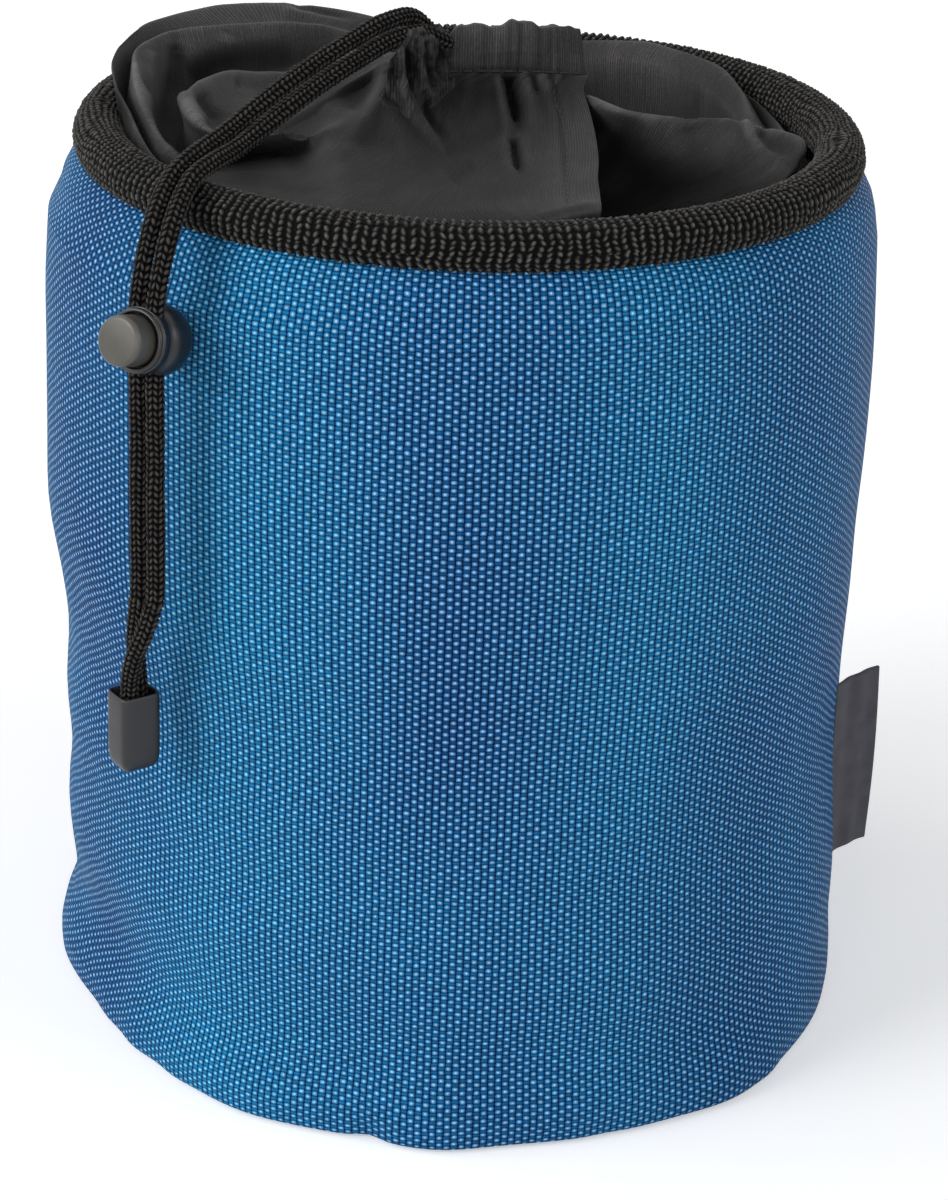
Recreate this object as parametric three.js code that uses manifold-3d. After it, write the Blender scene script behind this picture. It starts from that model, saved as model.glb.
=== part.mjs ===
// A drawstring peg bag: a firm round fabric tub with a taped rim, a thin nylon collar drawn
// together by a doubled cord, a ball lock on the cord and a moulded cord end.
// Millimetres, +Z up. The origin is the middle of the base on the table, and -Y is the front.
import * as THREE from "three";
import { LoftGeometry } from "three/addons/geometries/LoftGeometry.js";
import { mergeVertices } from "three/addons/utils/BufferGeometryUtils.js";
import Module from "manifold-3d";

const wasm = await Module();
wasm.setup();

const fullTurn = 2 * Math.PI;
const degree = Math.PI / 180;

// General sizes
const clearance = 0.3; // the gap between pieces that touch
const overrun = 20; // how far a cutting shape passes what it cuts
const aroundSteps = 48; // sections round the tub

// Tub
const bodyRadius = 90;
const wallThickness = 1.6;
const hemWidth = 3; // how far the wall turns in under its bottom edge
const footFadeHeight = 60; // the height at which the wavy outline of the base has died out
const basePanelThickness = 2;
const baseBoardThickness = 1.5;
const seamTapeThickness = 2;
const seamTapeHeight = 6;

// The wall's outline on its left and right sides, as shares of the shoulder's height and of
// the body's radius, and the outline of the foot at every twelfth of a turn from the left side
const wallHeightShares = [
  0, 0.022, 0.056, 0.1, 0.168, 0.235, 0.314, 0.392, 0.47, 0.56, 0.639, 0.784, 0.924, 1,
];
const wallLeftShares = [
  0.984, 0.993, 0.98, 0.933, 0.954, 0.964, 0.944, 0.96, 0.946, 0.969, 0.999, 1, 0.998, 0.986,
];
const wallRightShares = [
  0.991, 0.996, 0.994, 0.982, 0.988, 0.98, 0.972, 0.967, 0.969, 0.976, 0.973, 0.982, 0.978,
  0.968,
];
const footShares = [0.984, 0.935, 0.949, 0.978, 1, 1.004, 0.992, 0.98, 0.972, 0.97, 0.97, 0.975];

// Rim
const rimHeight = 195; // the middle of the rim above the table
const rimRadius = 78; // the middle of the rim from the axis
const rimThickness = 11;
const rimBackDrop = 1.6; // how far the rim sags in the middle of the back
const bindingThickness = 1.6;
const hoopThickness = 6.6;
const slitStart = -60 * degree; // the tape's slit for the wall, from straight out
const slitEnd = -29 * degree;
const bindingPoints = 14;
const hoopPoints = 8;

// Where the wall's edge runs into the rim, as shares of the rim's thickness
const shoulderDropShare = 1.5;
const seatOutShares = [0.745, 0.51, 0.355];
const seatDropShares = [0.82, 0.364, 0.273];

// Side seam and label
const seamAngle = -10 * degree;
const sideTapeWidth = 12;
const sideTapeThickness = 0.8;
const labelBottom = 34;
const labelHeight = 43;
const labelThickness = 0.9;
const labelSteps = 4;
// The label's line in plan, out from the wall and to its left
const labelLine = [
  [0.6, 0.2],
  [3.2, 3.2],
  [5.6, 7],
  [7.2, 11.2],
];

// Collar
const collarThickness = 1;
const mouthX = 5.5;
const mouthY = 32;
const mouthHalfWidth = 19;
const mouthHalfDepth = 21;
const mouthFrontHeight = 205; // the lower edge of the casing at the front of the mouth
const mouthBackHeight = 190;
const casingHeight = 11;
const casingThickness = 5.6;
const casingFabric = 0.5;
const casingSteps = 32;
const exitAngle = -125 * degree; // where the cord leaves the casing, round the mouth
const exitWidth = 9.5;

// The collar's way round the rim, out from and up from the rim's middle, as shares of the
// rim's thickness
const tuckOutShares = [0.2, -0.31, -0.61, -0.67];
const tuckUpShares = [-0.61, -0.59, -0.3, 0.055];
// The collar's crest at every twelfth of a turn from the left side: its radius as a share of
// the rim's radius, its lift over the rim and the dip behind it as shares of its thickness
const crestRadiusShares = [
  0.96, 0.945, 0.9, 0.885, 0.885, 0.885, 0.885, 0.9, 0.91, 0.95, 0.975, 0.98,
];
const crestLiftShares = [1, 0.73, 0.36, 0.27, 0.1, 0.1, 0.36, 0.45, 0.5, 0.8, 1.1, 1.2];
const crestDipShares = [0.35, 0.2, 0, 0, 0.8, 1.3, 0.4, 0.2, 0.2, 0.3, 0.4, 0.45];
const riseShare = 0.45; // the point between the tuck and the crest
// The points between the crest and the mouth, and how far each sinks between two folds
const slopeShares = [0.12, 0.3, 0.46, 0.62, 0.8, 1];
const foldShares = [0.25, 0, 1, 0.15, 0.9, 0];
// The depth of the folds at every twelfth of a turn from the left side, as shares of the rim's
// thickness
const foldDepthShares = [0.85, 0.55, 0.1, 0, 0, 0.15, 0.35, 0.5, 0.6, 0.7, 0.8, 0.9];

// Cord
const cordThickness = 3.8;
const cordSides = 8;
const ringSteps = 44;
const upperSteps = 26;
const tailSteps = 34;

// The middle of the doubled cord, from the casing over the rim to the cord end, with the
// direction from one strand to the other as a turn and a rise in degrees
const pairRoute = [
  [-5.6, 14, 210, 142, 0],
  [-8, 9.8, 213.5, 146, 25],
  [-12.3, 4.6, 217, 150, 50],
  [-18, -3, 217.2, 150, 60],
  [-24, -11, 215.4, 150, 54],
  [-32, -22, 212.4, 150, 48],
  [-40, -34, 208.7, 149, 42],
  [-47, -45.5, 205.2, 149, 30],
  [-51.9, -55.5, 204.1, 152, 14],
  [-54.7, -61.3, 202.9, 155, 3],
  [-56.2, -64.9, 201.1, 157, 0],
  [-57.4, -69, 198.6, 158, 0],
  [-58.5, -73.4, 195, 157, 0],
  [-59.5, -76.8, 190.4, 154, 0],
  [-60.3, -78.7, 185.2, 150, 0],
  [-60.8, -79.4, 179.4, 148, 0],
  [-60.8, -79.4, 166, 148, 0],
  [-60.8, -79.4, 126, 148, 0],
  [-61.3, -78.8, 119, 140, 0],
  [-62.6, -77.3, 112.6, 118, 0],
  [-63.8, -75.1, 106.6, 92, 0],
  [-64.3, -73.3, 100.6, 74, 0],
  [-64.4, -72.8, 94, 68, 0],
  [-64.4, -72.8, 91.2, 68, 0],
];
const hingeRow = 10; // the row where the tail starts to hang

// Cord lock
const lockRadius = 7.3;
const lockX = -59.4;
const lockY = -77.15;
const lockZ = 174.2;
const lockAzimuth = -122 * degree;
const lockTilt = 14 * degree;
const lockSlotOffset = 2.6; // the cords pass this far from the ball's middle, to the button
const lockCollarRadius = 6.2;
const lockCollarReach = 6.8;
const buttonRadius = 5;
const buttonReach = 12;
const buttonTravel = 2;
const buttonHeel = 1.6; // how far the button's stem passes the ball's middle
const buttonEdge = 0.5;
const springBoreRadius = 2.8;
const springBoreReach = 6.1;
const springWire = 0.5;
const springRadius = 2.1;
const springCurls = 3;
const springCurlSteps = 8;
const springSides = 5;
const ballPoints = 14;
const lockSegments = 28;

// Cord end and the knot inside it
const endX = -64.4;
const endY = -72.8;
const endTop = 97;
const endHeight = 17;
const endWidth = 9;
const endDepth = 7.6;
const endWall = 0.55;
const endFloor = 1.2;
const endCorner = 1.3;
const endTurn = 35 * degree;
const endRoundShares = [0.62, 0.84, 0.96, 1]; // the rounded foot's size, step by step
const endRiseShares = [0, 0.05, 0.13, 0.24];
const knotWidth = 6.6;
const knotDepth = 5.2;
const knotHeight = 8;
const knotSegments = 10;

// Colours
const wallBlue = 0x2b638f;
const tapeBlack = 0x232323;
const nylonBlack = 0x2f2f31;
const cordBlack = 0x1e1d1c;
const plasticGrey = 0x3a3b3e;
const labelGrey = 0x48484e;
const boardGrey = 0x55585c;
const steelGrey = 0x9a9c9f;

// Helpers

function material(color, roughness, metalness = 0) {
  return new THREE.MeshStandardMaterial({ color, roughness, metalness });
}

function piece(name, geometry, look) {
  const mesh = new THREE.Mesh(geometry, look);
  mesh.name = name;
  return mesh;
}

function polar(radius, angle, height) {
  return new THREE.Vector3(radius * Math.cos(angle), radius * Math.sin(angle), height);
}

function range(count) {
  return Array.from({ length: count }, (_, i) => i);
}

// A value between the rows of a table that goes once round the bag from its left side
function roundTable(shares, angle) {
  const turns = (((angle + Math.PI) / fullTurn) % 1) + 1;
  const place = (turns % 1) * shares.length;
  const row = Math.floor(place);
  const blend = THREE.MathUtils.smoothstep(place - row, 0, 1);
  const next = shares[(row + 1) % shares.length];
  return THREE.MathUtils.lerp(shares[row % shares.length], next, blend);
}

// A value between the rows of a table that goes up the wall
function heightTable(shares, heightShare) {
  const found = wallHeightShares.findIndex((share) => share >= heightShare);
  const row = found < 0 ? wallHeightShares.length - 1 : Math.max(found, 1);
  const low = wallHeightShares[row - 1];
  const blend = (heightShare - low) / (wallHeightShares[row] - low);
  return THREE.MathUtils.lerp(shares[row - 1], shares[row], THREE.MathUtils.clamp(blend, 0, 1));
}

// A ring through sections that stand one after another round a centre
function closedLoft(sections) {
  return new LoftGeometry([...sections, sections[0]]);
}

function ringOf(sectionAt) {
  const angles = range(aroundSteps).map((i) => (i / aroundSteps) * fullTurn - Math.PI);
  return closedLoft(
    angles.map((angle) => sectionAt(angle).map(([radius, height]) => polar(radius, angle, height))),
  );
}

// A column or bar through sections, closed at both ends
function barLoft(sections) {
  return new LoftGeometry(sections, { capStart: true, capEnd: true });
}

function solidFrom(geometry) {
  const bare = new THREE.BufferGeometry();
  bare.setAttribute("position", geometry.getAttribute("position"));
  bare.setIndex(geometry.getIndex());
  const merged = mergeVertices(bare);
  return new wasm.Manifold(
    new wasm.Mesh({
      numProp: 3,
      vertProperties: new Float32Array(merged.attributes.position.array),
      triVerts: new Uint32Array(merged.index.array),
    }),
  );
}

function geometryFrom(solid) {
  const mesh = solid.getMesh();
  const geometry = new THREE.BufferGeometry();
  geometry.setAttribute("position", new THREE.BufferAttribute(mesh.vertProperties, 3));
  geometry.setIndex(new THREE.BufferAttribute(mesh.triVerts, 1));
  return geometry;
}

function cut(geometry, ...tools) {
  const left = tools.reduce((solid, tool) => solid.subtract(solidFrom(tool)), solidFrom(geometry));
  return geometryFrom(left);
}

function cordTube(points, steps) {
  const sides = range(cordSides).map((i) => polar(cordThickness / 2, (i / cordSides) * fullTurn, 0));
  return new THREE.ExtrudeGeometry(new THREE.Shape(sides), {
    steps,
    bevelEnabled: false,
    extrudePath: new THREE.CatmullRomCurve3(points, false, "centripetal"),
  });
}

// Tub

const shoulderHeight = rimHeight - shoulderDropShare * rimThickness;

function wallRadius(angle, height) {
  const heightShare = height / shoulderHeight;
  const rightward = (1 + Math.cos(angle)) / 2;
  const sideShare = (share) =>
    THREE.MathUtils.lerp(
      heightTable(wallLeftShares, share),
      heightTable(wallRightShares, share),
      rightward,
    );
  const fade = 1 - THREE.MathUtils.smoothstep(height, 0, footFadeHeight);
  const foot = (roundTable(footShares, angle) - sideShare(0)) * fade;
  return bodyRadius * (sideShare(heightShare) + foot);
}

function rimMiddle(angle) {
  return rimHeight - rimBackDrop * Math.max(0, Math.sin(angle)) ** 4;
}

function wallSection(angle) {
  const foot = wallRadius(angle, 0);
  const outer = wallHeightShares.map((share) => {
    const height = share * shoulderHeight;
    return [wallRadius(angle, height), height];
  });
  const seat = seatOutShares.map((share, i) => [
    rimRadius + share * rimThickness,
    rimMiddle(angle) - seatDropShares[i] * rimThickness,
  ]);
  const above = [...outer.slice(1), ...seat];
  const inner = above.map(([radius, height]) => [radius - wallThickness, height]);
  const lip = [
    [foot - hemWidth, 0],
    [foot - hemWidth, wallThickness],
    [foot - wallThickness, wallThickness],
  ];
  const corner = [foot - wallThickness / 2, 0];
  return [...lip, ...inner, ...above.reverse(), corner];
}

function outerWall() {
  return ringOf(wallSection);
}

function disc(inset, thickness) {
  const outline = range(aroundSteps).map((i) => {
    const angle = (i / aroundSteps) * fullTurn;
    return polar(wallRadius(angle, 0) - inset, angle, 0);
  });
  return new THREE.ExtrudeGeometry(new THREE.Shape(outline), {
    depth: thickness,
    bevelEnabled: false,
  });
}

const basePanelInset = hemWidth + clearance;
const baseBoardInset = wallThickness + seamTapeThickness + 3 * clearance;
const seamTapeBottom = basePanelThickness + clearance;

function baseSeamTape() {
  const heights = [0, 0.5, 1].map((share) => seamTapeBottom + share * seamTapeHeight);
  return ringOf((angle) => {
    const outer = heights.map((height) => {
      const radius = Math.min(wallRadius(angle, height), wallRadius(angle, 0));
      return [radius - wallThickness - clearance, height];
    });
    const inner = outer.map(([radius, height]) => [radius - seamTapeThickness, height]);
    return [...inner, ...outer.reverse()];
  });
}

function sideSeamTape() {
  const bottom = seamTapeBottom + seamTapeHeight + clearance;
  const heights = [bottom, ...wallHeightShares.map((share) => share * shoulderHeight)].filter(
    (height) => height >= bottom,
  );
  const halfAngle = sideTapeWidth / 2 / bodyRadius;
  return barLoft(
    heights.map((height) => {
      const sides = [seamAngle - halfAngle, seamAngle, seamAngle + halfAngle];
      const outer = sides.map((angle) =>
        polar(wallRadius(angle, height) - wallThickness - clearance, angle, height),
      );
      const inner = sides.map((angle) => {
        const radius = wallRadius(angle, height) - wallThickness - clearance - sideTapeThickness;
        return polar(radius, angle, height);
      });
      return [...outer, ...inner.reverse()];
    }),
  );
}

function sideLabel() {
  const heights = range(labelSteps + 1).map((i) => labelBottom + (i / labelSteps) * labelHeight);
  return barLoft(
    heights.map((height) => {
      const out = wallRadius(seamAngle, height);
      const near = labelLine.map(([outward, left]) =>
        polar(out + outward, seamAngle, height).add(polar(left, seamAngle + Math.PI / 2, 0)),
      );
      const far = near.map((point) =>
        point.clone().add(polar(labelThickness, seamAngle - Math.PI / 4, 0)),
      );
      return [...far, ...near.reverse()];
    }),
  );
}

// Rim

function rimBinding() {
  const outerRadius = rimThickness / 2;
  const innerRadius = outerRadius - bindingThickness;
  const sweep = fullTurn - (slitEnd - slitStart);
  const arc = (radius, angle) =>
    range(bindingPoints + 1).map((i) => {
      const turn = slitEnd + (i / bindingPoints) * sweep;
      return [rimRadius + radius * Math.cos(turn), rimMiddle(angle) + radius * Math.sin(turn)];
    });
  return ringOf((angle) => [...arc(innerRadius, angle), ...arc(outerRadius, angle).reverse()]);
}

function rimHoop() {
  return ringOf((angle) =>
    range(hoopPoints).map((i) => {
      const turn = (-i / hoopPoints) * fullTurn;
      const radius = hoopThickness / 2;
      return [rimRadius + radius * Math.cos(turn), rimMiddle(angle) + radius * Math.sin(turn)];
    }),
  );
}

// Collar

function mouthPoint(turn, lift) {
  const x = mouthX + mouthHalfWidth * Math.cos(turn);
  const y = mouthY + mouthHalfDepth * Math.sin(turn);
  const backward = (1 + Math.sin(turn)) / 2;
  return new THREE.Vector3(
    x,
    y,
    THREE.MathUtils.lerp(mouthFrontHeight, mouthBackHeight, backward) + lift,
  );
}

function collarLine(angle) {
  const middle = rimMiddle(angle);
  const tuck = tuckOutShares.map((share, i) =>
    polar(rimRadius + share * rimThickness, angle, middle + tuckUpShares[i] * rimThickness),
  );
  const lift = roundTable(crestLiftShares, angle) * rimThickness;
  const dip = roundTable(crestDipShares, angle) * rimThickness;
  const crest = polar(rimRadius * roundTable(crestRadiusShares, angle), angle, middle + lift);
  const mouth = mouthPoint(angle, -clearance - collarThickness / 2);
  const rise = tuck.at(-1).clone().lerp(crest, riseShare);
  const fold = roundTable(foldDepthShares, angle) * rimThickness;
  const slope = slopeShares.map((share, i) => {
    const point = crest.clone().lerp(mouth, share);
    point.z -= dip * Math.sin(Math.PI * share) + fold * foldShares[i];
    return point;
  });
  return [...tuck, rise, crest, ...slope];
}

function collar() {
  const lines = range(aroundSteps).map((i) => collarLine((i / aroundSteps) * fullTurn - Math.PI));
  const line = (i) => lines[(i + aroundSteps) % aroundSteps];
  const last = lines[0].length - 1;
  const normal = (i, j) => {
    const around = line(i + 1)[j].clone().sub(line(i - 1)[j]);
    const across = line(i)[Math.min(j + 1, last)].clone().sub(line(i)[Math.max(j - 1, 0)]);
    return across.cross(around).normalize();
  };
  return closedLoft(
    lines.map((points, i) => {
      const shifted = (side) =>
        points.map((point, j) =>
          point.clone().addScaledVector(normal(i, j), (side * collarThickness) / 2),
        );
      return [...shifted(1), ...shifted(-1).reverse()];
    }),
  );
}

// The casing's section: a flat channel that stands on the collar's edge
function channelRing(halfThickness, bottom, top) {
  return closedLoft(
    range(casingSteps).map((i) => {
      const turn = (i / casingSteps) * fullTurn;
      const outward = new THREE.Vector3(
        mouthHalfDepth * Math.cos(turn),
        mouthHalfWidth * Math.sin(turn),
        0,
      ).normalize();
      const chamfer = halfThickness / 2;
      const outline = [
        [-halfThickness, bottom + chamfer],
        [-halfThickness, top - chamfer],
        [-chamfer, top],
        [chamfer, top],
        [halfThickness, top - chamfer],
        [halfThickness, bottom + chamfer],
        [chamfer, bottom],
        [-chamfer, bottom],
      ];
      return outline.map(([out, lift]) => mouthPoint(turn, lift).addScaledVector(outward, out));
    }),
  );
}

function collarCasing() {
  const outside = channelRing(casingThickness / 2, 0, casingHeight);
  const channel = channelRing(
    casingThickness / 2 - casingFabric,
    casingFabric,
    casingHeight - casingFabric,
  );
  const exit = new THREE.BoxGeometry(exitWidth, overrun, overrun);
  const place = mouthPoint(exitAngle, casingHeight / 2);
  exit.rotateZ(exitAngle + Math.PI / 2);
  exit.translate(place.x, place.y, place.z);
  return cut(outside, channel, exit);
}

// Cord

function drawcordRing() {
  const halfGap = (exitWidth / 2 + clearance) / mouthHalfWidth;
  const start = exitAngle + halfGap;
  const sweep = fullTurn - 2 * halfGap;
  const points = range(ringSteps + 1).map((i) =>
    mouthPoint(start + (i / ringSteps) * sweep, casingHeight / 2),
  );
  return cordTube(points, ringSteps);
}

function strandPoints(side) {
  return pairRoute.map(([x, y, z, turn, rise]) => {
    const reach = (side * (cordThickness + clearance)) / 2;
    const across = polar(Math.cos(rise * degree), turn * degree, Math.sin(rise * degree));
    return new THREE.Vector3(x, y, z).addScaledVector(across, reach);
  });
}

function upperStrand(side) {
  const points = strandPoints(side).slice(0, hingeRow + 1);
  const end = points.at(-1);
  end.add(points.at(-2).clone().sub(end).setLength(clearance));
  return cordTube(points, upperSteps);
}

function tailStrand(side) {
  return cordTube(strandPoints(side).slice(hingeRow), tailSteps);
}

// Cord lock, in a frame at the ball's middle whose X points level towards the button

function turnedOnAxis(profile) {
  const points = profile.map(([radius, along]) => new THREE.Vector2(radius, along));
  const turned = new THREE.LatheGeometry(points, lockSegments);
  return turned.rotateZ(-Math.PI / 2).rotateY(-lockTilt);
}

const cordSlotDepth = cordThickness + 2 * clearance;
const cordSlotWidth = 2 * cordThickness + 3 * clearance;

function cordSlot(towardsButton) {
  const slot = new THREE.BoxGeometry(cordSlotDepth + towardsButton, cordSlotWidth, overrun);
  return slot.translate(lockSlotOffset + towardsButton / 2, 0, 0);
}

function cordLockBody() {
  const boreRadius = buttonRadius + clearance;
  const boreReach = buttonHeel + buttonTravel + clearance;
  const lipTurn = Math.acos(lockCollarRadius / lockRadius);
  const ball = range(ballPoints + 1).map((i) => {
    const turn = -Math.PI / 2 + (i / ballPoints) * (Math.PI / 2 + lipTurn);
    return [Math.max(0, lockRadius * Math.cos(turn)), lockRadius * Math.sin(turn)];
  });
  const bore = [
    [lockCollarRadius, lockCollarReach - clearance],
    [lockCollarRadius - clearance, lockCollarReach],
    [boreRadius, lockCollarReach],
    [boreRadius, -boreReach],
    [springBoreRadius, -boreReach],
    [springBoreRadius, -springBoreReach],
    [0, -springBoreReach],
  ];
  return cut(turnedOnAxis([...ball, ...bore]), cordSlot(0));
}

function cordLockButton() {
  const button = turnedOnAxis([
    [0, -buttonHeel],
    [buttonRadius, -buttonHeel],
    [buttonRadius, buttonReach - buttonEdge],
    [buttonRadius - buttonEdge, buttonReach],
    [0, buttonReach],
  ]);
  return cut(button, cordSlot(buttonTravel));
}

function cordLockSpring() {
  const start = buttonHeel + clearance + springWire / 2;
  const end = springBoreReach - clearance - springWire / 2;
  const count = springCurls * springCurlSteps;
  const sections = range(count + 1).map((i) => {
    const turn = (i / springCurlSteps) * fullTurn;
    const along = -THREE.MathUtils.lerp(start, end, i / count);
    return range(springSides).map((k) => {
      const side = (-k / springSides) * fullTurn;
      const radius = springRadius + (springWire / 2) * Math.cos(side);
      const reach = along + (springWire / 2) * Math.sin(side);
      return new THREE.Vector3(reach, radius * Math.cos(turn), radius * Math.sin(turn));
    });
  });
  return barLoft(sections).rotateY(-lockTilt);
}

// Cord end, in a frame at the middle of its foot

function roundedSection(width, depth, corner, height) {
  const outline = new THREE.Shape();
  const x = width / 2;
  const y = depth / 2;
  outline.moveTo(x, corner - y);
  outline.lineTo(x, y - corner);
  outline.quadraticCurveTo(x, y, x - corner, y);
  outline.lineTo(corner - x, y);
  outline.quadraticCurveTo(-x, y, -x, y - corner);
  outline.lineTo(-x, corner - y);
  outline.quadraticCurveTo(-x, -y, corner - x, -y);
  outline.lineTo(x - corner, -y);
  outline.quadraticCurveTo(x, -y, x, corner - y);
  const points = outline.getPoints(3);
  return points.slice(1).map((point) => new THREE.Vector3(point.x, point.y, height));
}

function cordEnd() {
  const foot = endRiseShares.map((share, i) =>
    roundedSection(
      endWidth * endRoundShares[i],
      endDepth * endRoundShares[i],
      endCorner,
      endHeight * share,
    ),
  );
  const outside = barLoft([...foot, roundedSection(endWidth, endDepth, endCorner, endHeight)]);
  const hollow = [endFloor, endHeight + overrun].map((height) =>
    roundedSection(endWidth - 2 * endWall, endDepth - 2 * endWall, endCorner - endWall, height),
  );
  return cut(outside, barLoft(hollow));
}

function cordKnot() {
  const knot = new THREE.SphereGeometry(1, knotSegments, knotSegments);
  knot.scale(knotWidth / 2, knotDepth / 2, knotHeight / 2);
  return knot.translate(0, 0, endFloor + clearance + knotHeight / 2);
}

// Assembly

const wallCloth = material(wallBlue, 0.75);
const rimTape = material(tapeBlack, 0.9);
const nylon = material(nylonBlack, 0.7);
const braid = material(cordBlack, 0.85);
const plastic = material(plasticGrey, 0.45);
const labelCloth = material(labelGrey, 0.6);
const board = material(boardGrey, 0.6);
const steel = material(steelGrey, 0.3, 1);

const bag = new THREE.Group();

const tub = new THREE.Group();
const basePanel = piece("base_panel", disc(basePanelInset, basePanelThickness), wallCloth);
const baseBoard = piece("base_board", disc(baseBoardInset, baseBoardThickness), board);
baseBoard.position.z = seamTapeBottom;
tub.add(
  piece("outer_wall", outerWall(), wallCloth),
  basePanel,
  baseBoard,
  piece("base_seam_tape", baseSeamTape(), rimTape),
  piece("side_seam_tape", sideSeamTape(), rimTape),
  piece("side_label", sideLabel(), labelCloth),
);

const rim = new THREE.Group();
rim.add(piece("rim_binding", rimBinding(), rimTape), piece("rim_hoop", rimHoop(), board));

const top = new THREE.Group();
top.add(
  piece("collar", collar(), nylon),
  piece("collar_casing", collarCasing(), nylon),
  piece("drawcord_ring", drawcordRing(), braid),
);

const cords = new THREE.Group();
cords.add(
  piece("drawcord_upper_left", upperStrand(1), braid),
  piece("drawcord_upper_right", upperStrand(-1), braid),
  piece("drawcord_tail_left", tailStrand(1), braid),
  piece("drawcord_tail_right", tailStrand(-1), braid),
);

const lock = new THREE.Group();
lock.position.set(lockX, lockY, lockZ);
lock.rotation.z = lockAzimuth;
lock.add(
  piece("cord_lock_body", cordLockBody(), plastic),
  piece("cord_lock_button", cordLockButton(), plastic),
  piece("cord_lock_spring", cordLockSpring(), steel),
);

const end = new THREE.Group();
end.position.set(endX, endY, endTop - endHeight);
end.rotation.z = endTurn;
end.add(piece("cord_end", cordEnd(), plastic), piece("cord_knot", cordKnot(), braid));

bag.add(tub, rim, top, cords, lock, end);

export default bag;
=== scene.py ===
import math

import bmesh
import bpy
import numpy as np
from mathutils import Matrix, Vector
from mathutils.bvhtree import BVHTree


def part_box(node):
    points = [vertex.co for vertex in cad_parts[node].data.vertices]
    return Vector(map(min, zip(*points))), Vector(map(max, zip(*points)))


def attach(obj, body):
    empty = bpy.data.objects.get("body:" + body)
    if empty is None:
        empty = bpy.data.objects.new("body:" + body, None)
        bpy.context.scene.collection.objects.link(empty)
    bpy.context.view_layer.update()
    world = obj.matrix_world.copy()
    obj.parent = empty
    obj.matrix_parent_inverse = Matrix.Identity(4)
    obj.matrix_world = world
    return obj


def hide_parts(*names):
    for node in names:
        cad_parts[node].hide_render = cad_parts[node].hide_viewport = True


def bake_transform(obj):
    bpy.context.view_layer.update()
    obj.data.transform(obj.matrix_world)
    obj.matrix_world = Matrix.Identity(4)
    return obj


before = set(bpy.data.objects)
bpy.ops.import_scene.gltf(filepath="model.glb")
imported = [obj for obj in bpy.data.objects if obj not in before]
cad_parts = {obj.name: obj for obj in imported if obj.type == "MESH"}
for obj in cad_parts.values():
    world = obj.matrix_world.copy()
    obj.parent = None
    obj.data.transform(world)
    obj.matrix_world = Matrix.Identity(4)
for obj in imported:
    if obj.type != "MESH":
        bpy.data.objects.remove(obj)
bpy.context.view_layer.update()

MM = 0.001
TURN = 2 * math.pi

# Camera, as fitted to the photograph
CAMERA_PLACE = (0, -0.695, 0.394)
CAMERA_PITCH = math.radians(23.79)
CAMERA_ROLL = math.radians(2.11)
CAMERA_YAW = math.radians(0.37)
CAMERA_LENS = 101.67
SENSOR = 36
PICTURE = (948, 1200)

# Wall, in millimetres: its last height under the tape, its thickness and its lowest height
WALL_TOP = 178.5
WALL_THICK = 1.5
WALL_FOOT = 2.6
# The rounded lower edge with the turned hem: outward of the wall's foot, and height
WALL_EDGE = [(-5.5, 1.2), (-5.2, 0.35), (-3.4, 0.0), (-1.6, 0.15), (-0.55, 0.75), (-0.1, 1.6)]
# The top edge, which runs in under the tape: outward of the rim's middle, and above it
WALL_TUCK = [(8.3, -11.2), (7.6, -8.6), (6.4, -6.3), (4.9, -4.4), (3.2, -3.0)]
# Weave of the wall: columns of yarn round the tub, and the pitch of its rows
WEAVE_COLUMNS = 368
WEAVE_PITCH = 0.885

# Rim, collar and casing, in millimetres
RIM_R = 78
RIM_Z = 195
RIM_TUBE = 5.5
RIM_BACK_DROP = 1.6
RIM_INNER = 72.5
RIM_STITCHES = 276
RIM_ROWS = 26
RIM_RELIEF = 0.75
NYLON_THICK = 0.4
# Fine upright ribs of the nylon
NYLON_RIB = 0.58
CASING_TALL = 11
CASING_THICK = 4.6
CASING_STEP = 0.16
HEM = 6.8
# Where along the casing the cord comes out
EXIT_SHARE = 0.238

# Cord, in millimetres
CORD = 3.8
CORD_GAP = 0.3
# The cord bends over this far on each side of the hinge
PAIR_ROUTE = [
    (-5.6, 14, 210, 142, 0),
    (-8, 9.8, 213.5, 146, 25),
    (-12.3, 4.6, 217, 150, 50),
    (-18, -3, 217.2, 150, 60),
    (-24, -11, 215.4, 150, 54),
    (-32, -22, 212.4, 150, 48),
    (-40, -34, 208.7, 149, 42),
    (-47, -45.5, 205.2, 149, 30),
    (-51.9, -55.5, 204.1, 152, 14),
    (-54.7, -61.3, 202.9, 155, 3),
    (-56.2, -64.9, 201.1, 157, 0),
    (-57.4, -69, 198.6, 158, 0),
    (-58.5, -73.4, 195, 157, 0),
    (-59.5, -76.8, 190.4, 154, 0),
    (-60.3, -78.7, 185.2, 150, 0),
    (-60.8, -79.4, 179.4, 148, 0),
    (-60.8, -79.4, 166, 148, 0),
    (-60.8, -79.4, 126, 148, 0),
    (-61.3, -78.8, 119, 140, 0),
    (-62.6, -77.3, 112.6, 118, 0),
    (-63.8, -75.1, 106.6, 92, 0),
    (-64.3, -73.3, 100.6, 74, 0),
    (-64.4, -72.8, 94, 68, 0),
    (-64.4, -72.8, 91.2, 68, 0),
]

# Cord lock and cord end, in millimetres and degrees, as in part.mjs
LOCK = (-59.4, -77.15, 174.2)
LOCK_AZIMUTH = -122
LOCK_TILT = 14
LOCK_R = 7.3
LOCK_WALL = 1.2
LOCK_LIP = 6.3
BUTTON_R = 5
BUTTON_FOOT = 2
BUTTON_REACH = 12
END = (-64.4, -72.8, 80)
END_SIZE = (9, 7.6, 17)
END_TURN = math.radians(35)

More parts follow.
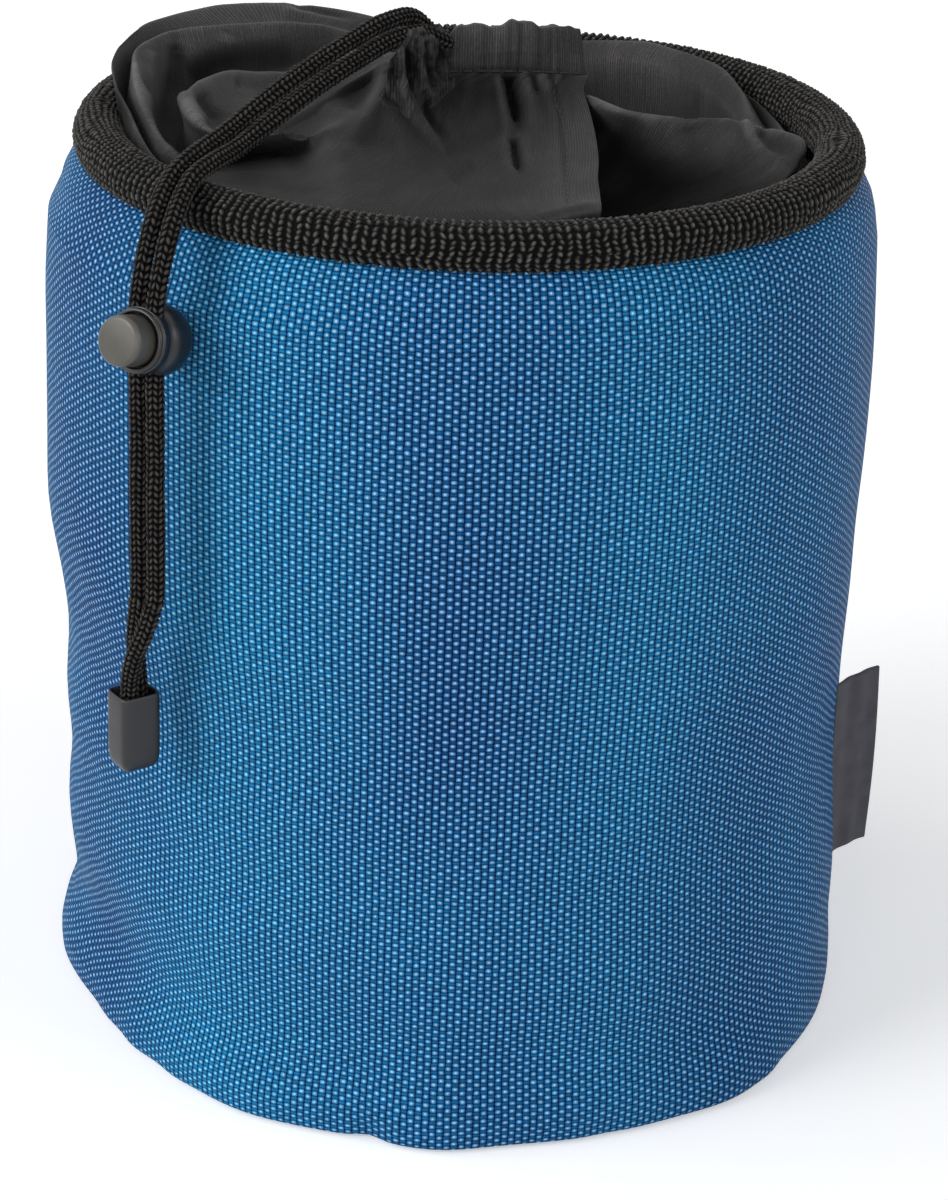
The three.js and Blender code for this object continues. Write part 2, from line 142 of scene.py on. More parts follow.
# The label's line seen from above, from the wall to its free edge, and how far it bends
LABEL_LINE = [(85.2, -16.2), (86.9, -14.0), (88.6, -11.6), (91.2, -9.4), (93.2, -7.2), (95.6, -5.6)]
LABEL_BEND = 0.5
LABEL_THICK = 0.7

# Lamps: name, compass angle, height and spread in degrees, and strength
SUNS = [
    ("key", -150, 27, 30, 1.5),
    ("left", 176, 38, 30, 0.55),
    ("right", -26, 25, 35, 0.5),
    ("front", -92, 17, 50, 0.75),
]
SKY_COLOR = (0.97, 0.98, 1, 1)
SKY_LIGHT = 0.3
FLOOR_HALF = 3.0
FLOOR_DROP = 0.0003
FLOOR_GLOW = 0.37
WHITE = (1, 1, 1, 1)


# Curves and noise


def smooth(x, low=0.0, high=1.0):
    """0 below low, 1 above high and an even rise between them."""
    t = np.clip((np.asarray(x, float) - low) / (high - low), 0, 1)
    return t * t * (3 - 2 * t)


def hill(x, middle, half):
    """1 at the middle, and down on both sides."""
    return np.exp(-(((x - middle) / half) ** 2))


def squared(x, power):
    """x brought nearer to 1 or -1: makes a circle's outline a rounded square's."""
    return np.sign(x) * np.abs(x) ** power


def hashed(ix, iy, seed):
    """A fixed value from 0 to 1 for each cell of a grid."""
    n = (ix.astype(np.int64) * 374761393 + iy.astype(np.int64) * 668265263 + seed * 974711) & 0x7FFFFFFF
    n = ((n ^ (n >> 13)) * 1274126177) & 0x7FFFFFFF
    return ((n ^ (n >> 16)) & 0xFFFF) / 65535


def noise(x, y, seed=0, wrap=None):
    """Smooth noise from -1 to 1 over a plane. wrap is the number of cells after which x repeats."""
    x, y = np.broadcast_arrays(np.asarray(x, float), np.asarray(y, float))
    left, low = np.floor(x), np.floor(y)
    fx, fy = smooth(x - left), smooth(y - low)
    right = left + 1
    if wrap:
        left, right = np.mod(left, wrap), np.mod(right, wrap)
    below = hashed(left, low, seed) * (1 - fx) + hashed(right, low, seed) * fx
    above = hashed(left, low + 1, seed) * (1 - fx) + hashed(right, low + 1, seed) * fx
    return 2 * (below * (1 - fy) + above * fy) - 1


def catmull(a, b, c, d, t):
    """The curve from b to c that heads along a to c and b to d, at t from 0 to 1."""
    return 0.5 * (2 * b + (c - a) * t + (2 * a - 5 * b + 4 * c - d) * t**2 + (3 * b - a - 3 * c + d) * t**3)


def hermite(a, b, slope_a, slope_b, t):
    """The curve from a to b with these slopes at its ends, at t from 0 to 1."""
    return a + (b - a) * (3 - 2 * t) * t**2 + slope_a * (t**3 - 2 * t**2 + t) + slope_b * (t**3 - t**2)


def spline(points, at):
    """A smooth curve through points, rows of any width, at places from 0 to len - 1."""
    p = np.asarray(points, float)
    p = np.vstack([2 * p[0] - p[1], p, 2 * p[-1] - p[-2]])
    at = np.clip(np.asarray(at, float), 0, len(p) - 3 - 1e-9)
    i = np.floor(at).astype(int)
    return catmull(p[i], p[i + 1], p[i + 2], p[i + 3], (at - i)[:, None])


def natural(x, knots, values):
    """A smooth curve through values at the knots that never swings past them."""
    knots, values = np.asarray(knots, float), np.asarray(values, float)
    gap = np.diff(knots)
    rise = np.diff(values) / gap
    before, after = rise[:-1], rise[1:]
    slope = np.concatenate([rise[:1], np.zeros(len(before)), rise[-1:]])
    slope[1:-1] = np.where(before * after > 0, 2 * before * after / (before + after + 1e-12), 0)
    i = np.clip(np.searchsorted(knots, x, "right") - 1, 0, len(gap) - 1)
    t = (x - knots[i]) / gap[i]
    return hermite(values[i], values[i + 1], gap[i] * slope[i], gap[i] * slope[i + 1], t)


def even_path(points, step):
    """The spline through points, resampled to even steps, and its length."""
    fine = spline(points, np.linspace(0, len(points) - 1, 40 * len(points)))
    run = np.concatenate([[0], np.cumsum(np.linalg.norm(np.diff(fine[:, :3], axis=0), axis=1))])
    count = max(4, int(round(run[-1] / step)))
    s = np.linspace(0, run[-1], count + 1)
    return np.stack([np.interp(s, run, fine[:, k]) for k in range(fine.shape[1])], axis=1), run[-1]


def circle(count):
    """So many even angles round a turn."""
    return np.arange(count) / count * TURN


def polar(radius, angle, z):
    """Points at a radius, an angle for each row, and a height."""
    radius, angle, z = np.broadcast_arrays(radius, angle[:, None], z)
    return np.stack([radius * np.cos(angle), radius * np.sin(angle), z], axis=-1)


# Meshes


def mesh_piece(name, verts, faces, uvs=None, shade=True):
    """A mesh object from vertices in millimetres and an array of faces with as many corners each."""
    me = bpy.data.meshes.new(name)
    faces = np.asarray(faces)
    count, corners = faces.shape
    me.vertices.add(len(verts))
    me.vertices.foreach_set("co", (np.asarray(verts, float) * MM).ravel())
    me.loops.add(faces.size)
    me.loops.foreach_set("vertex_index", faces.ravel().astype(np.int32))
    me.polygons.add(count)
    me.polygons.foreach_set("loop_start", np.arange(0, faces.size, corners, dtype=np.int32))
    me.polygons.foreach_set("loop_total", np.full(count, corners, dtype=np.int32))
    if uvs is not None:
        me.uv_layers.new(name="UVMap").data.foreach_set("uv", np.asarray(uvs, float).ravel())
    me.update(calc_edges=True)
    me.validate()
    me.polygons.foreach_set("use_smooth", np.full(len(me.polygons), shade))
    ob = bpy.data.objects.new(name, me)
    bpy.context.scene.collection.objects.link(ob)
    return ob


def grid_piece(name, points, uv, wrap_u=False, wrap_v=False):
    """A mesh over a grid of points (u, v, 3). A wrapped way closes on itself. uv is (u, v, 2), with
    one more row or column along a wrapped way for the seam."""
    nu, nv = points.shape[:2]
    u, v = np.meshgrid(np.arange(nu - (not wrap_u)), np.arange(nv - (not wrap_v)), indexing="ij")
    next_u, next_v = (u + 1) % nu, (v + 1) % nv
    faces = np.stack([u * nv + v, next_u * nv + v, next_u * nv + next_v, u * nv + next_v], axis=-1)
    corners = np.stack([uv[u, v], uv[u + 1, v], uv[u + 1, v + 1], uv[u, v + 1]], axis=2)
    return mesh_piece(name, points.reshape(-1, 3), faces.reshape(-1, 4), corners)


def close_up(ob, rings=()):
    """Close each open ring of points, join points that meet and turn the faces outward."""
    bm = bmesh.new()
    bm.from_mesh(ob.data)
    bm.verts.ensure_lookup_table()
    for ring in rings:
        bm.faces.new([bm.verts[i] for i in ring])
    bmesh.ops.remove_doubles(bm, verts=bm.verts, dist=1e-6)
    bmesh.ops.recalc_face_normals(bm, faces=bm.faces)
    bm.to_mesh(ob.data)
    bm.free()
    ob.data.polygons.foreach_set("use_smooth", np.ones(len(ob.data.polygons), dtype=bool))


def tube_piece(name, points, uv):
    """A closed body over rings of points."""
    rows, around = points.shape[:2]
    ob = grid_piece(name, points, uv, wrap_v=True)
    close_up(ob, (range(around), range((rows - 1) * around, rows * around)))
    return ob


def turned(name, profile, place, azimuth, tilt, count=72):
    """A body turned on its axis. profile is (radius, along) from end to end in millimetres."""
    radius, along = np.array(profile, float).T
    points = polar(radius, circle(count), along)
    turn = Matrix.Rotation(math.radians(azimuth), 3, "Z") @ Matrix.Rotation(math.radians(90 - tilt), 3, "Y")
    uv = np.zeros((count + 1, len(radius), 2))
    ob = grid_piece(name, points @ np.array(turn).T + np.array(place), uv, wrap_u=True)
    close_up(ob)
    return ob


def thicken(ob, thickness, offset=0.0):
    """Give a sheet its thickness, in millimetres."""
    solid = ob.modifiers.new("solid", "SOLIDIFY")
    solid.thickness = thickness * MM
    solid.offset = offset
    ob.data = bpy.data.meshes.new_from_object(ob.evaluated_get(bpy.context.evaluated_depsgraph_get()))
    ob.modifiers.clear()


def point_values(ob, name, values):
    """A value at each point of a mesh, for its material."""
    layer = ob.data.attributes.new(name, "FLOAT", "POINT")
    layer.data.foreach_set("value", np.asarray(values, np.float32).ravel())


def placed(ob, body, slot, material, *nodes):
    """A piece with its material and its body, with the CAD nodes that it stands for hidden. slot is not used.
    """
    ob.data.materials.append(material)
    if body:
        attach(ob, body)
    if nodes:
        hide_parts(*nodes)
    return ob


# Materials


class Nodes:
    """Short calls for building the node tree of a material or of the world."""

    def __init__(self, owner):
        owner.use_nodes = True
        self.owner = owner
        self.tree = owner.node_tree
        self.bsdf = self.tree.nodes.get("Principled BSDF")

    def new(self, kind, **props):
        n = self.tree.nodes.new(kind)
        for key, value in props.items():
            setattr(n, key, value)
        return n

    def put(self, value, socket):
        """Link an output to a socket, or set the socket's own value."""
        if isinstance(value, bpy.types.NodeSocket):
            self.tree.links.new(value, socket)
        else:
            socket.default_value = value

    def math(self, op, *values, clamp=False):
        n = self.new("ShaderNodeMath", operation=op, use_clamp=clamp)
        for value, socket in zip(values, n.inputs):
            self.put(value, socket)
        return n.outputs[0]

    def mix(self, fac, a, b, blend="MIX"):
        n = self.new("ShaderNodeMix", data_type="RGBA", blend_type=blend)
        for value, i in ((fac, 0), (a, 6), (b, 7)):
            self.put(value, n.inputs[i])
        return n.outputs[2]

    def tinted(self, color, shade):
        """A colour made lighter or darker by a factor."""
        grey = self.new("ShaderNodeCombineXYZ")
        for socket in grey.inputs:
            self.put(shade, socket)
        return self.mix(1.0, color, grey.outputs[0], blend="MULTIPLY")

    def uv(self):
        """The mesh's own coordinates, as a vector and as two numbers."""
        n = self.new("ShaderNodeUVMap", uv_map="UVMap")
        s = self.new("ShaderNodeSeparateXYZ")
        self.put(n.outputs[0], s.inputs[0])
        return n.outputs[0], s.outputs[0], s.outputs[1]

    def body(self):
        return self.new("ShaderNodeTexCoord").outputs["Object"]

    def attribute(self, name):
        return self.new("ShaderNodeAttribute", attribute_name=name).outputs["Fac"]

    def noise(self, vector, scale, detail=2.0, rough=0.5):
        """Noise from 0 to 1, with as many patches to a unit as scale says each way."""
        stretch = self.new("ShaderNodeMapping")
        self.put(scale, stretch.inputs["Scale"])
        self.put(vector, stretch.inputs["Vector"])
        n = self.new("ShaderNodeTexNoise")
        values = {"Vector": stretch.outputs[0], "Scale": 1.0, "Detail": detail, "Roughness": rough}
        for key, value in values.items():
            self.put(value, n.inputs[key])
        return n.outputs["Fac"]

    def wave(self, value, pitch):
        return self.math("SINE", self.math("MULTIPLY", value, TURN / pitch))

    def ramp(self, fac, *stops):
        n = self.new("ShaderNodeValToRGB")
        while len(n.color_ramp.elements) < len(stops):
            n.color_ramp.elements.new(0.5)
        for element, (at, color) in zip(n.color_ramp.elements, stops):
            element.position = at
            element.color = color
        self.put(fac, n.inputs[0])
        return n.outputs[0]

    def map(self, value, *limits, kind="LINEAR"):
        """A value between two limits, brought between two others."""
        n = self.new("ShaderNodeMapRange", clamp=True, interpolation_type=kind)
        for v, socket in zip((value, *limits), n.inputs):
            self.put(v, socket)
        return n.outputs[0]

    def bump(self, height, distance, strength=1.0, normal=None):
        n = self.new("ShaderNodeBump")
        for key, value in (("Height", height), ("Distance", distance), ("Strength", strength)):
            self.put(value, n.inputs[key])
        if normal:
            self.put(normal, n.inputs["Normal"])
        return n.outputs[0]

    def set(self, **values):
        for key, value in values.items():
            self.put(value, self.bsdf.inputs[key.replace("_", " ")])

    def seen(self):
        """1 where the background itself shows: in the picture, in a reflection and through glass."""
        path = self.new("ShaderNodeLightPath")
        first = self.math("MAXIMUM", path.outputs["Is Camera Ray"], path.outputs["Is Glossy Ray"])
        return self.math("MAXIMUM", first, path.outputs["Is Transmission Ray"])


def material(name):
    return Nodes(bpy.data.materials.new(name))


def rgba(*screen):
    """A colour given as it looks on screen, from 0 to 255."""
    shares = [c / 255 for c in screen]
    return (*(c / 12.92 if c <= 0.04045 else ((c + 0.055) / 1.055) ** 2.4 for c in shares), 1)


def blended(a, b, share):
    return tuple((1 - share) * p + share * q for p, q in zip(a, b))


def weave(m, a, b):
    """Plain weave at yarn coordinates a (across) and b (up): how high the upright yarn's crowns and
    the level yarn's stand, each from 0 to 1."""
    sa = m.wave(a, 2)
    sb = m.wave(b, 2)
    turn = m.math("MULTIPLY", sb, m.math("SIGN", sa))
    wide = m.math("ABSOLUTE", sa)
    up = m.math("MULTIPLY", m.math("POWER", wide, 1.2), m.math("MULTIPLY_ADD", turn, 0.66, 0.34, clamp=True))
    along = m.math("MULTIPLY", m.math("ABSOLUTE", sb), m.math("POWER", wide, 0.6))
    level = m.math("MULTIPLY", along, m.math("MULTIPLY_ADD", turn, -0.6, 0.4, clamp=True))
    return up, level


def wall_cloth():
    m = material("wall_cloth")
    vec, u, v = m.uv()
    warp = m.noise(vec, (0.06, 0.06, 1))
    wobble = m.noise(vec, (0.9, 0.35, 1), 1.0)
    a = m.math("ADD", u, m.math("MULTIPLY_ADD", wobble, 0.3, -0.15))
    b = m.math("ADD", v, m.math("MULTIPLY_ADD", warp, 2.4, -1.2))
    up, level = weave(m, a, b)
    # Painted sheen: broad bands where the level yarn shows lighter, standing in for its reflection of the
    # lamps
    broad = m.math("SUBTRACT", m.noise(vec, (0.03, 0.012, 1)), 0.5)
    light = m.math("MULTIPLY_ADD", broad, 0.8, m.attribute("painted_sheen"), clamp=True)
    level_color = m.mix(light, rgba(7, 62, 122), rgba(27, 130, 186))
    up_color = m.mix(light, rgba(74, 126, 186), rgba(62, 158, 208))
    # Colours by yarn height: the yarns' own colours, with painted shade in the gaps between them and a
    # painted highlight on the crowns' tops
    glint_color = m.mix(light, rgba(176, 204, 240), rgba(164, 222, 246))
    gap_shade_color = m.mix(light, rgba(0, 12, 48), rgba(0, 34, 82))
    under = m.mix(m.map(level, 0.03, 0.7, 0, 1), gap_shade_color, level_color)
    crown = m.mix(m.map(up, 0.04, 0.5, 0, 1, kind="SMOOTHSTEP"), under, up_color)
    full = m.mix(m.map(up, 0.6, 1.05, 0, 1, kind="SMOOTHSTEP"), crown, glint_color)
    flecks = m.map(m.noise(vec, (5, 1.2, 1)), 0.2, 0.8, 0.75, 1.25)
    cells = m.map(m.noise(vec, (0.9, 0.4, 1), 0.0), 0.25, 0.75, 0.86, 1.14)
    height = m.math("MAXIMUM", up, m.math("MULTIPLY", level, 0.55))
    m.set(Base_Color=m.tinted(full, m.math("MULTIPLY", flecks, cells)), Roughness=0.5)
    m.set(Specular_IOR_Level=0.04, Normal=m.bump(height, 0.0005, 0.9))
    return m.owner


def knit_cloth(name, dark, light, fuzz=0.03):
    """Knitted or braided yarn whose stitches are in the mesh, with painted light and shade: a painted
    highlight on the crowns and painted shade in the gaps between them.
    """
    m = material(name)
    vec = m.body()
    fibre = m.noise(vec, (2600, 2600, 2600))
    patch = m.noise(vec, (420, 420, 420))
    height = m.math("ADD", m.attribute("crown"), m.math("MULTIPLY_ADD", fibre, 0.4, -0.2))
    color = m.ramp(height, (0.25, dark), (0.65, blended(dark, light, 0.3)), (0.95, light))
    m.set(Base_Color=m.tinted(color, m.map(patch, 0.3, 0.7, 0.85, 1.15)), Roughness=0.6)
    m.set(Sheen_Weight=fuzz, Sheen_Roughness=0.5, Specular_IOR_Level=0.03)
    m.set(Normal=m.bump(fibre, 0.00012, 0.6))
    return m.owner


def nylon():
    m = material("nylon")
    vec, u, v = m.uv()
    rib = m.wave(u, NYLON_RIB)
    streak = m.noise(vec, (1.9, 0.1, 1), 3.0)
    cloud = m.noise(vec, (0.07, 0.05, 1), 3.0)
    grain = m.noise(vec, (2.2, 1.4, 1))
    tone = m.math("MULTIPLY_ADD", streak, 0.3, m.math("MULTIPLY", cloud, 0.35))
    tone = m.math("MULTIPLY_ADD", grain, 0.35, tone)
    color = m.ramp(tone, (0.32, rgba(36, 35, 36)), (0.5, rgba(53, 52, 52)), (0.68, rgba(69, 67, 66)))
    patchy = m.math("MULTIPLY", rib, m.map(cloud, 0.35, 0.65, 0.2, 0.5))
    # The crown value is painted light and shade in doublings of the tone: lighter on crests and lit faces,
    # darker in valleys, hollows and under folds
    shade = m.math("POWER", 2.0, m.math("ADD", m.attribute("crown"), patchy))
    m.set(Base_Color=m.tinted(color, shade), Roughness=0.5, Specular_IOR_Level=0.07)
    m.set(Sheen_Weight=0.03, Sheen_Roughness=0.3)
    creased = m.bump(m.noise(vec, (0.26, 0.09, 1), 4.0, 0.6), 0.0012, 0.2)
    m.set(Normal=m.bump(rib, 0.00006, 0.5, m.bump(streak, 0.0001, 0.4, creased)))
    return m.owner


def plastic(name, tone, rough=0.42):
    m = material(name)
    vec = m.body()
    grain = m.noise(vec, (2600, 2600, 2600))
    cloud = m.noise(vec, (160, 160, 160), 3.0)
    low, high = (tuple(share * c for c in tone[:3]) + (1,) for share in (0.85, 1.15))
    m.set(Base_Color=m.ramp(cloud, (0.3, low), (0.7, high)), Specular_IOR_Level=0.5)
    m.set(Roughness=m.map(cloud, 0.3, 0.7, rough - 0.05, rough + 0.06))
    m.set(Normal=m.bump(grain, 0.00003, 0.5))
    return m.owner


def label_cloth():
    m = material("label_cloth")
    vec, u, v = m.uv()
    twill = m.wave(m.math("ADD", u, v), 0.5)
    soft = m.noise(vec, (0.2, 0.2, 1), 3.0)
    m.set(Base_Color=m.ramp(soft, (0.3, rgba(58, 58, 65)), (0.7, rgba(74, 74, 81))), Roughness=0.6)
    m.set(Sheen_Weight=0.05, Specular_IOR_Level=0.2)
    m.set(Normal=m.bump(m.math("MULTIPLY_ADD", twill, 0.5, m.wave(v, 0.34)), 0.00005, 0.5))
    return m.owner


# The camera


def camera_axes():
    """The camera's right, up and forward directions."""
    p, w, roll = CAMERA_PITCH, CAMERA_YAW, CAMERA_ROLL
    forward = Vector((math.sin(w) * math.cos(p), math.cos(w) * math.cos(p), -math.sin(p)))
    right = Vector((math.cos(w), -math.sin(w), 0))
    up = right.cross(forward)
    c, s = math.cos(roll), math.sin(roll)
    return c * right + s * up, c * up - s * right, forward


def make_camera():
    right, up, forward = camera_axes()
    cam = bpy.data.cameras.new("camera")
    cam.lens = CAMERA_LENS
    cam.sensor_fit = "VERTICAL"
    cam.sensor_height = SENSOR
    cam.sensor_width = SENSOR
    ob = bpy.data.objects.new("camera", cam)
    ob.matrix_world = Matrix.Translation(CAMERA_PLACE) @ Matrix((right, up, -forward)).transposed().to_4x4()
    bpy.context.scene.collection.objects.link(ob)
    bpy.context.scene.camera = ob


def picture_place(pts):
    """Where points in millimetres fall in the picture's frame."""
    right, up, forward = (np.array(v) for v in camera_axes())
    d = pts * MM - np.array(CAMERA_PLACE)
    scale = CAMERA_LENS / SENSOR * PICTURE[1] / (d @ forward)
    return PICTURE[0] / 2 + (d @ right) * scale, PICTURE[1] / 2 - (d @ up) * scale


def from_picture(x, y, depth):
    """The points in millimetres at places in the picture's frame, so far behind the bag's axis."""
    right, up, forward = (np.array(v) for v in camera_axes())
    scale = CAMERA_LENS / SENSOR * PICTURE[1]
    way = forward + ((x - PICTURE[0] / 2) / scale)[..., None] * right
    way = way + ((PICTURE[1] / 2 - y) / scale)[..., None] * up
    start = np.array(CAMERA_PLACE) / MM
    return start + way * ((depth - start[1]) / way[..., 1])[..., None]


make_camera()


# Cords


def pair_strand(side):
    """One strand's points: to one side of the doubled cord's middle."""
    rows = np.array(PAIR_ROUTE, float)
    turn, rise = np.radians(rows[:, 3:]).T
    across = np.stack([np.cos(rise) * np.cos(turn), np.cos(rise) * np.sin(turn), np.sin(rise)], axis=1)
    return rows[:, :3] + side * (CORD + CORD_GAP) / 2 * across


def path_sides(path):
    """Two directions across a path, carried along it without twist."""
    tangent = np.gradient(path, axis=0)
    tangent /= np.linalg.norm(tangent, axis=1)[:, None]
    normal = np.cross(tangent[0], [0, 0, 1])
    if np.linalg.norm(normal) < 1e-3:
        normal = np.cross(tangent[0], [1, 0, 0])
    one = np.zeros_like(path)
    for k, t in enumerate(tangent):
        normal = normal - t * np.dot(normal, t)
        normal /= np.linalg.norm(normal)
        one[k] = normal
    return one, np.cross(tangent, one)


def knit_height(a, b, wide, tall, size, lean, loose=0.1, seed=3):
    """Height, from 0 to 1, of knitted stitches at column a and row b: ovals that lean one way in one
    column and the other way in the next, with gaps between. wide and tall are a stitch's pitch and
    size the oval's half length and half width, in millimetres."""
    column = np.floor(a)
    way = np.where(np.mod(column, 2) > 0.5, 1, -1)
    c, s = math.cos(lean), math.sin(lean)
    best = np.zeros(np.broadcast(a, b).shape)
    for step in (-1, 0, 1):
        row = np.floor(b) + step
        x = (a - column - 0.5 + loose * (hashed(column, row, seed) - 0.5)) * wide
        y = (b - row - 0.5 + loose * (hashed(column, row, seed + 1) - 0.5)) * tall
        u = y * c + way * x * s
        w = x * c - way * y * s
        tone = 0.88 + 0.24 * hashed(column, row, seed + 2)
        best = np.maximum(best, tone * np.clip(1 - (u / size[0]) ** 2 - (w / size[1]) ** 2, 0, 1) ** 0.7)
    return best


def cord_piece(name, points, columns=10, row=1.4, depth=0.5, around=96, step=0.12):
    """A braided cord along points, with its stitches in the mesh and rounded ends."""
    path, length = even_path(points, step)
    one, two = path_sides(path)
    along = np.linspace(0, length, len(path))
    turn = circle(around)
    a = turn / TURN * columns + 0.25 * noise(turn, along[:, None] / 9, 6)
    b = along[:, None] / row + 0.2 * noise(turn, along[:, None] / 4, 7)
    h = knit_height(a, b, TURN * CORD / 2 / columns, row, (0.86, 0.46), math.radians(36))
    grain = noise(turn * 6, along[:, None] * 1.2, 5, wrap=round(TURN * 6))
    radius = (CORD + CORD_GAP) / 2 - 0.04 - depth + depth * h + 0.03 * grain
    from_end = np.minimum(along, length - along)[:, None] / (CORD / 2)
    ease = np.sqrt(np.clip(1 - (1 - from_end).clip(0, 1) ** 2, 0.02, 1))
    radius = (radius * np.maximum(ease, 0.15))[..., None]
    sideways = np.cos(turn)[:, None] * one[:, None, :] + np.sin(turn)[:, None] * two[:, None, :]
    uv = np.stack(np.meshgrid(along, np.append(turn, TURN) * CORD / 2, indexing="ij"), axis=-1)
    ob = tube_piece(name, path[:, None, :] + radius * sideways, uv)
    # Stitch heights, which the material turns into painted highlights on the crowns and painted shade in the
    # gaps
    point_values(ob, "crown", h)
    return ob, path, length


braid_mat = knit_cloth("braid", rgba(4, 4, 4), rgba(74, 71, 69))
for side, word in ((1, "left"), (-1, "right")):
    points = pair_strand(side)
    ob, path, length = cord_piece("strand_" + word, points)
    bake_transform(ob)
    placed(ob, None, "braid", braid_mat, "drawcord_upper_" + word, "drawcord_tail_" + word)


# The wall


def cad_radius(node, angles, heights):
    """The outer radius of a CAD node, in millimetres, at each angle and height."""
    bvh = BVHTree.FromObject(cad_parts[node], bpy.context.evaluated_depsgraph_get())
    out = np.zeros((len(angles), len(heights)))
    for i, a in enumerate(angles):
        way = Vector((-math.cos(a), -math.sin(a), 0))
        for k, z in enumerate(heights):
            hit = bvh.ray_cast(Vector((0, 0, z * MM)) - 0.2 * way, way)[0]
            out[i, k] = math.hypot(hit.x, hit.y) / MM if hit else np.nan
    return out


def wall_rows():
    """The CAD wall's radii at even angles and given heights, smoothed a little along the height."""
    angles = circle(48) - math.pi
    heights = np.concatenate([[1, 3], np.arange(6, WALL_TOP, 5), [WALL_TOP]])
    table = np.pad(cad_radius("outer_wall", angles, heights), ((0, 0), (1, 1)), mode="edge")
    return heights, 0.25 * table[:, :-2] + 0.5 * table[:, 1:-1] + 0.25 * table[:, 2:]


def wall_radius(rows, angle, z):
    """The wall's radius at each angle and height, smooth round the turn."""
    heights, table = rows
    n = len(table)
    place = np.mod((angle + math.pi) / TURN * n, n)
    i = np.floor(place).astype(int)
    near = [table[(i + k) % n] for k in (-1, 0, 1, 2)]
    return np.stack([np.interp(z, heights, row) for row in catmull(*near, (place - i)[:, None])])


def rim_middle(angle):
    return RIM_Z - RIM_BACK_DROP * np.maximum(0, np.sin(angle)) ** 4


# Bulges and notches of the foot: azimuth and half width in degrees, and millimetres outward
FOOT_BULGES = [
    (-151, 4, 0.8), (-142, 5, 1.4), (-132, 4, 0.9), (-118, 12, 2.8), (-99.5, 2.4, -2.2), (-90, 8, 2.4),
    (-66, 3, -0.5), (-45, 9, 2.4), (-37, 3, 0.7),
]
# How high each reaches, in millimetres for a degree of its half width
BULGE_HEIGHT = 3.4


def dents(angle, z):
    """Soft bulges and hollows of the wall, in millimetres, outward positive."""
    a = angle / TURN
    out = 0.55 * noise(a * 9, z / 60, 11, wrap=9)
    out += 0.35 * noise(a * 21, z / 34 + 5, 12, wrap=21)
    out += 0.12 * noise(a * 60, z / 14, 13, wrap=60)
    out = out * smooth(z, 0, 12) * (1 - smooth(z, 150, 185))
    for at, half, proud in FOOT_BULGES:
        off = (np.degrees(angle) - at + 180) % 360 - 180
        out = out + proud * hill(off, 0, half) * (1 - smooth(z, 0, BULGE_HEIGHT * half))
    return out


def painted_sheen_bands(angle, z):
    """Painted sheen: how much lighter the level yarn shows, from 0 to 1, in broad bands of painted reflection
    that run down the wall.
    """

    def band(light, at, wide, slope=0.0):
        off = (np.degrees(angle) - at - slope * (z - 100) + 540) % 360 - 180
        return light * hill(off, 0, wide)

    out = 0.14 + band(0.75, -121, 20, 0.05)
    out = out + band(0.72, -62, 17, 0.03) * (0.6 + 0.4 * smooth(z, 40, 120))
    out = out + band(0.3, -30, 10) + band(0.3, -172, 14) + band(0.5, 60, 16) + band(0.5, 120, 18)
    out = out + band(0.4, 10, 14) + band(0.35, -90, 16, 0.1) * (1 - smooth(z, 50, 90))
    return np.clip(out, 0, 1)


def make_wall(around=384):
    angle = circle(around) - math.pi
    rows = wall_rows()
    z_out = np.linspace(WALL_FOOT, WALL_TOP, 170)
    radius = wall_radius(rows, angle, z_out) + dents(angle[:, None], z_out[None, :])
    edge_r, edge_z = np.array(WALL_EDGE).T
    tuck_r, tuck_z = np.array(WALL_TUCK).T
    top_r = np.tile(RIM_R + tuck_r, (around, 1))
    top_z = rim_middle(angle)[:, None] + tuck_z
    inner_z = np.linspace(WALL_TOP - 2, 3.4, 40)
    inner_r = wall_radius(rows, angle, inner_z) - WALL_THICK
    r = [radius[:, :1] + edge_r, radius, top_r, top_r[:, ::-1] - WALL_THICK, inner_r]
    z = [np.tile(edge_z, (around, 1)), np.tile(z_out, (around, 1)), top_z]
    z += [top_z[:, ::-1] - 0.3, np.tile(inner_z, (around, 1))]
    r, z = np.concatenate(r, axis=1), np.concatenate(z, axis=1)
    # Distance up the cloth, the mean of all columns, so that its rows of yarn stay level
    run = np.concatenate([np.zeros((around, 1)), np.cumsum(np.hypot(np.diff(r), np.diff(z)), axis=1)], axis=1)
    run = np.append(run, run[:, -1:] + 4, axis=1)
    run = np.append(run, run[:1], axis=0).mean(axis=0)
    uv = np.meshgrid(np.arange(around + 1) / around * WEAVE_COLUMNS, run / WEAVE_PITCH, indexing="ij")
    ob = grid_piece("wall", polar(r, angle, z), np.stack(uv, axis=-1), wrap_u=True, wrap_v=True)
    # The bands of painted sheen, for the cloth's colour
    point_values(ob, "painted_sheen", painted_sheen_bands(angle[:, None], z))
    return placed(ob, "bag", "wall_cloth", wall_cloth(), "outer_wall")


wall = make_wall()


# The rim


